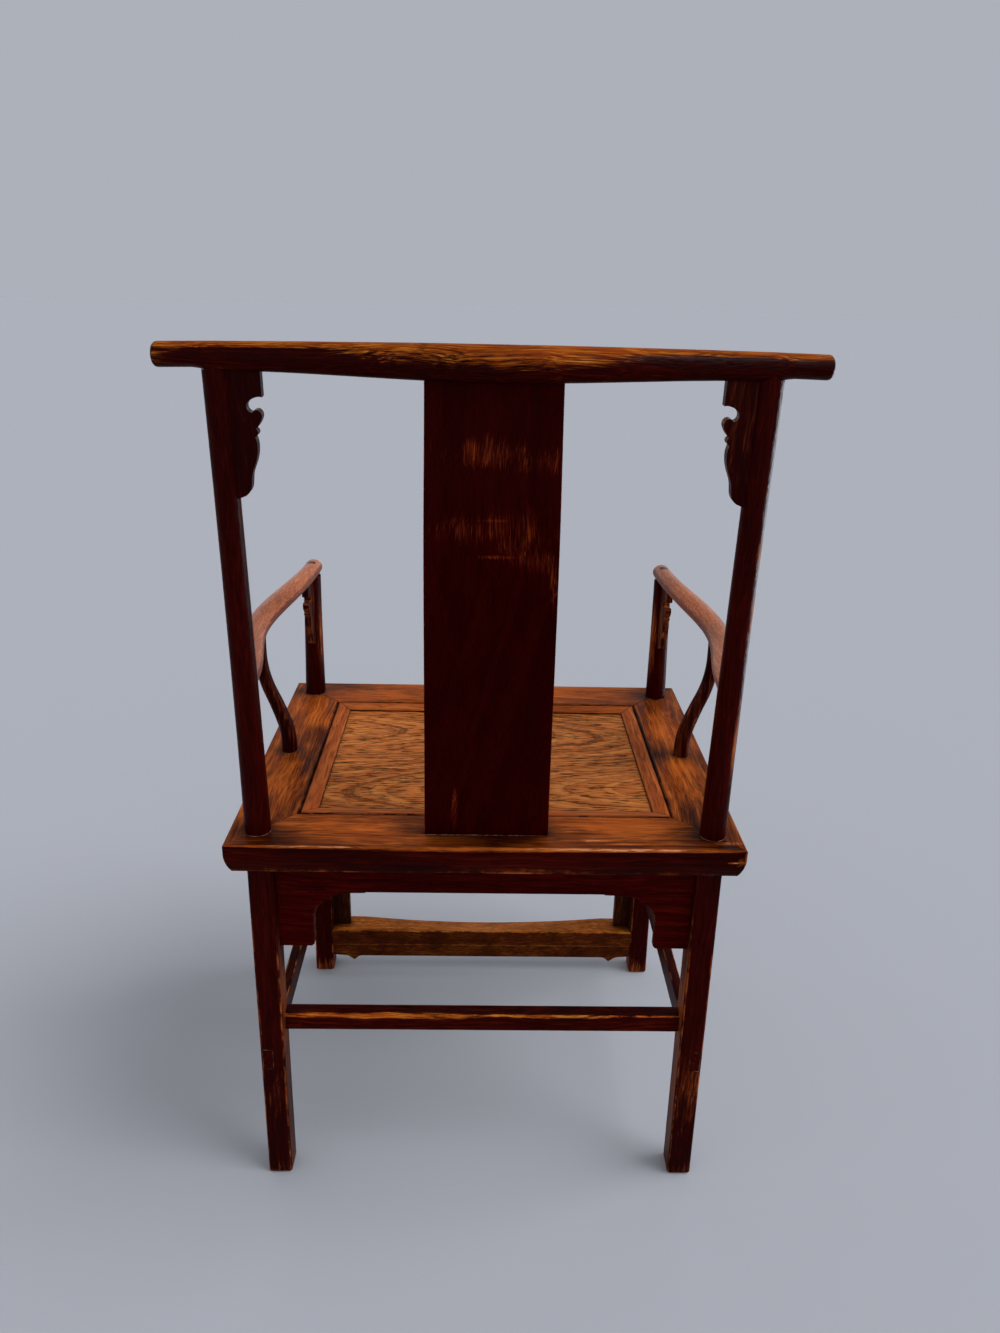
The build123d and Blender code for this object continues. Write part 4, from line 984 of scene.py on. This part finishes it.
@dataclass
class Seat:
    """Mitred frame, pressing strips, panel boards and battens."""

    frame_arris: float = 1.4
    strip_arris: float = 0.8
    board_arris: float = 0.5
    batten_arris: float = 1.0
    top: float = 500.0
    opening_half: tuple[float, float] = (222.5, 170.5)
    opening_middle_y: float = -7.75
    chamfer: float = 1.2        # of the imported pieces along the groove
    worn_by: float = 1.5        # wear has widened the groove by this much on each side
    worn_deeper: float = 1.8
    near: float = 0.1           # how close to a height or a side counts as on it

    def build(self) -> None:
        """Dress the seat."""
        slot = "seat_frame_wood"
        for end, grain in (("front", Grain.ACROSS), ("rear", Grain.ACROSS), ("left", Grain.DEEP),
                           ("right", Grain.DEEP)):
            dressed(f"seat_rail_{end}", self.frame_arris, FRAME_WOOD, grain, slot, self.widen_groove)
            dressed(f"seat_strip_{end}", self.strip_arris, STRIP_WOOD, grain, slot, self.widen_groove)
        slot = "seat_panel_wood"
        for end, finish in (("front", PANEL_WOOD), ("rear", PANEL_REAR_WOOD)):
            dressed(f"seat_panel_{end}_board", self.board_arris, finish, Grain.ACROSS, slot)
        for side, _ in SIDES:
            dressed(f"panel_batten_{side}", self.batten_arris, APRON_WOOD, Grain.DEEP, slot)

    def widen_groove(self, mesh: Mesh) -> None:
        """Wear the two chamfers between frame and strip wider and deeper.

        Args:
            mesh: a frame rail or a strip, to change.
        """
        for vertex in mesh.vertices:
            x, y, z = (value / MM for value in vertex.co)
            y -= self.opening_middle_y
            past = (abs(x) - self.opening_half[0], abs(y) - self.opening_half[1])
            edge = max(past)
            if abs(edge) > 2 * self.chamfer or z < self.top - 1.5 * self.chamfer:
                continue
            if z > self.top - self.near:
                step = math.copysign(self.worn_by, edge) * MM
                if past[0] > edge - self.near:
                    vertex.co.x += math.copysign(step, x * edge)
                if past[1] > edge - self.near:
                    vertex.co.y += math.copysign(step, y * edge)
            elif z < self.top - self.chamfer + self.near:
                vertex.co.z -= self.worn_deeper * MM


@dataclass
class Underframe:
    """Aprons, brackets, stretchers and the footrest."""

    arris: float = 1.0
    stretcher_arris: float = 1.2
    footrest_arris: float = 1.5

    def build(self) -> None:
        """Dress everything below the seat."""
        plain, across, deep = self.arris, Grain.ACROSS, Grain.DEEP
        rows = [
            ("apron_rear", plain, APRON_WOOD, across, "apron_wood"),
            ("apron_front", plain, APRON_WOOD, across, "apron_wood"),
            ("stretcher_rear", self.stretcher_arris, STRETCHER_WOOD, across, "stretcher_wood"),
            ("footrest", self.footrest_arris, FOOTREST_WOOD, across, "footrest_wood"),
            ("footrest_apron", plain, FOOTREST_WOOD, across, "footrest_wood"),
        ]
        for side, _ in SIDES:
            rows += [
                (f"apron_side_{side}", plain, APRON_WOOD, deep, "apron_wood"),
                (f"apron_upright_{side}", plain, UPRIGHT_WOOD, Grain.UPRIGHT, "apron_wood"),
                (f"bracket_rear_{side}", plain, APRON_WOOD, across, "apron_wood"),
                (f"bracket_side_rear_{side}", plain, APRON_WOOD, deep, "apron_wood"),
                (f"bracket_side_front_{side}", plain, APRON_WOOD, deep, "apron_wood"),
                (f"stretcher_side_{side}", self.stretcher_arris, STRETCHER_WOOD, deep, "stretcher_wood"),
            ]
        for row in rows:
            dressed(*row)


@dataclass
class WaxLines:
    """Thin broken lines of dried wax and dust where pieces meet."""

    seat_top: float = 500.0
    bead: float = 0.75
    rear_post: tuple[float, float] = (262.0, 202.75)
    front_post: tuple[float, float] = (262.0, -216.75)
    middle_post: tuple[float, float] = (264.0, -9.25)
    post_radius: float = 15.0
    middle_radius: float = 10.75
    splat_half_width: float = 71.0
    splat_back: float = 209.25
    steps: int = 72
    tenon_bead: float = 0.45
    tenon_x: tuple[float, float] = (260.25, 272.75)
    tenon_low: tuple[float, float] = (169.5, 219.97)      # height, and where the leg's back is there
    tenon_high: tuple[float, float] = (198.5, 219.6)
    tenon_steps: int = 5
    first_seed: float = 3.0
    seed_step: float = 7.0
    thinning: tuple[float, float, float, float] = (0.35, 0.65, 0.15, 1.0)   # noise in, share of the bead out

    def build(self) -> None:
        """Lay a line round each post, along the splat's foot and round the tenons on the rear legs."""
        paths = []
        for label, (x, y), radius in (
                ("rear", self.rear_post, self.post_radius), ("front", self.front_post, self.post_radius),
                ("middle", self.middle_post, self.middle_radius)):
            for side, sign in SIDES:
                turns = [2 * math.pi * i / self.steps for i in range(self.steps)]
                ring = [(sign * x + radius * math.cos(turn), y + radius * math.sin(turn), self.seat_top)
                        for turn in turns]
                paths.append((f"wax_line_{label}_post_{side}", ring, True, self.bead))
        span = [self.splat_half_width * (2 * i / self.steps - 1) for i in range(self.steps + 1)]
        foot = [(x, self.splat_back, self.seat_top) for x in span]
        paths.append(("wax_line_splat", foot, False, self.bead))
        (low, low_y), (high, high_y) = self.tenon_low, self.tenon_high
        inner, outer = self.tenon_x
        corners = [Vector(c) for c in (
            (inner, low_y, low), (outer, low_y, low), (outer, high_y, high), (inner, high_y, high))]
        for side, sign in SIDES:
            outline = []
            for start, end in zip(corners, corners[1:] + corners[:1]):
                for step in range(self.tenon_steps):
                    x, y, z = start.lerp(end, step / self.tenon_steps)
                    outline.append((sign * x, y, z))
            paths.append((f"wax_line_tenon_{side}", outline, True, self.tenon_bead))
        tree = self.tree()
        material = WaxResidue().material()
        for number, (name, points, closed, bead) in enumerate(paths):
            values = {"Thickness": bead * MM, "Seed": self.first_seed + self.seed_step * number,
                      "Material": material}
            seat_piece(grow(self.path(name, points, closed), tree, values), "seat_frame_wood")

    @staticmethod
    def path(name: str, points: Sequence[Point], closed: bool) -> Piece:
        """Draw the path of a bead.

        Args:
            name: the piece's name.
            points: the path, in millimetres.
            closed: whether it runs all the way round.

        Returns:
            A curve.
        """
        curve = bpy.data.curves.new(name, "CURVE")
        curve.dimensions = "3D"
        spline = curve.splines.new("POLY")
        spline.points.add(len(points) - 1)
        for point, (x, y, z) in zip(spline.points, points):
            point.co = (x * MM, y * MM, z * MM, 1.0)
        spline.use_cyclic_u = closed
        return new_object(name, curve)

    def tree(self) -> Tree:
        """A bead whose thickness wanders along its path.

        Returns:
            The geometry tree.
        """
        tree, add, size = new_tree("wandering bead", "Thickness", "Seed")
        noise = add("TexNoise", W=size["Seed"], Scale=120.0, Detail=2.0, noise_dimensions="4D")
        share = add("MapRange", noise, *self.thinning)
        radius = add("Math MULTIPLY", share, size["Thickness"])
        profile = add("GeometryNodeCurvePrimitiveCircle", Resolution=6, Radius=1.0)
        sweep = add("GeometryNodeCurveToMesh", size["Geometry"], Profile_Curve=profile, Scale=radius,
                    Fill_Caps=True)
        end_tree(add, sweep, size)
        return tree


# -------- studio
@dataclass(frozen=True)
class Softbox:
    """A lamp with a broad face that draws a highlight on polish: metres and watts."""

    name: str
    place: Point
    target: Point
    size: tuple[float, float]
    watts: float


@dataclass
class Studio:
    """Pale blue-grey floor and backdrop, soft light from the sitter's right, and the camera."""

    backdrop: str = "#adb1ba"
    paper: str = "#a9acb5"
    floor_reach: float = 60.0               # metres
    camera_at: Point = (9.8, 1214.75, 1088.6)
    yaw: float = -0.0212
    pitch: float = 0.3624
    roll: float = 0.0218
    focal_px: float = 1001.3
    sun_strength: float = 1.9
    sun_angle: float = 44.0
    sun_towards: Point = (0.85, -0.12, -1.0)
    sky_strength: float = 0.075
    wall_strength: float = 1.7
    sky_colour: tuple[float, float, float, float] = (0.97, 0.985, 1.0, 1.0)
    softbox_colour: Point = (0.86, 0.9, 1.0)
    softboxes: tuple[Softbox, ...] = (
        Softbox("low_strip_softbox", (-1.9, -0.8, 0.4), (-0.26, 0.22, 0.75), (0.3, 1.0), 45.0),
        Softbox("high_softbox", (-0.9, 2.3, 2.8), (-0.2, 0.25, 1.02), (0.9, 0.9), 100.0),
    )

    def build(self) -> None:
        """Set the floor, the world, the lamps and the camera."""
        self.floor()
        self.world()
        self.lamps()
        self.camera()
        bpy.context.scene.view_settings.view_transform = "Standard"

    def floor(self) -> None:
        """A wide matt floor."""
        mesh = bpy.data.meshes.new("studio_floor")
        reach = self.floor_reach
        corners = [(-reach, -reach, 0), (reach, -reach, 0), (reach, reach, 0), (-reach, reach, 0)]
        mesh.from_pydata(corners, [], [(0, 1, 2, 3)])
        material = bpy.data.materials.new("matt_studio_paper")
        add = blank(material)
        add("OutputMaterial", add("BsdfDiffuse", linear(self.paper)), out=None)
        mesh.materials.append(material)
        new_object("studio_floor", mesh)

    def world(self) -> None:
        """Even grey light all round, and the backdrop's colour for the camera."""
        world = bpy.data.worlds.new("studio")
        bpy.context.scene.world = world
        add = blank(world)
        ray = add("LightPath", out=None).outputs
        seen = add("Math MAXIMUM", ray["Is Camera Ray"], ray["Is Transmission Ray"])
        height = add("SeparateXYZ", add("TexCoord", out="Generated"), out="Z")
        # The walls shine more than the ceiling, so that light reaches in under the seat.
        strength = add("MapRange", height, 0.0, 1.0, self.wall_strength, self.sky_strength)
        light = add("Background", self.sky_colour, strength)
        backdrop = add("Background", linear(self.backdrop), 1.0)
        add("OutputWorld", add("MixShader", seen, light, backdrop), out=None)

    def lamps(self) -> None:
        """One broad sun from above and the sitter's right, and the softboxes."""
        lamp = bpy.data.lights.new("soft_window", "SUN")
        lamp.energy = self.sun_strength
        lamp.angle = math.radians(self.sun_angle)
        self.aim(new_object("soft_window", lamp), Vector(self.sun_towards))
        for box in self.softboxes:
            lamp = bpy.data.lights.new(box.name, "AREA")
            lamp.shape = "RECTANGLE"
            lamp.size, lamp.size_y = box.size
            lamp.energy = box.watts
            lamp.color = self.softbox_colour
            softbox = new_object(box.name, lamp)
            softbox.location = box.place
            self.aim(softbox, Vector(box.target) - Vector(box.place))
            # It only draws a sheen on the polish; the window does the lighting.
            softbox.visible_diffuse = False

    @staticmethod
    def aim(lamp: Piece, towards: Vector) -> None:
        """Turn a lamp to shine in a direction."""
        lamp.rotation_mode = "QUATERNION"
        lamp.rotation_quaternion = towards.to_track_quat("-Z", "Y")

    def camera(self) -> None:
        """The camera behind the chair, a little above the arms' level."""
        level = math.cos(self.pitch)
        ahead = Vector((math.sin(self.yaw) * level, -math.cos(self.yaw) * level, -math.sin(self.pitch)))
        right = ahead.cross(Vector((0, 0, 1))).normalized()
        up = right.cross(ahead)
        turned_right = math.cos(self.roll) * right + math.sin(self.roll) * up
        turned_up = -math.sin(self.roll) * right + math.cos(self.roll) * up
        data = bpy.data.cameras.new("camera")
        data.lens = self.focal_px * data.sensor_width / max(IMAGE_SIZE)
        camera = new_object("camera", data)
        turn = Matrix((turned_right, turned_up, -ahead)).transposed().to_4x4()
        camera.matrix_world = Matrix.Translation(Vector(self.camera_at) * MM) @ turn
        bpy.context.scene.camera = camera


def main() -> None:
    """Dress the chair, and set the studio."""
    logging.basicConfig(level=logging.INFO, format="%(message)s")
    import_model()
    for assembly in (Studio(), Back(), Arms(), Legs(), Seat(), Underframe(), WaxLines()):
        LOG.info("building %s", type(assembly).__name__)
        assembly.build()


if __name__ == "__main__":
    main()
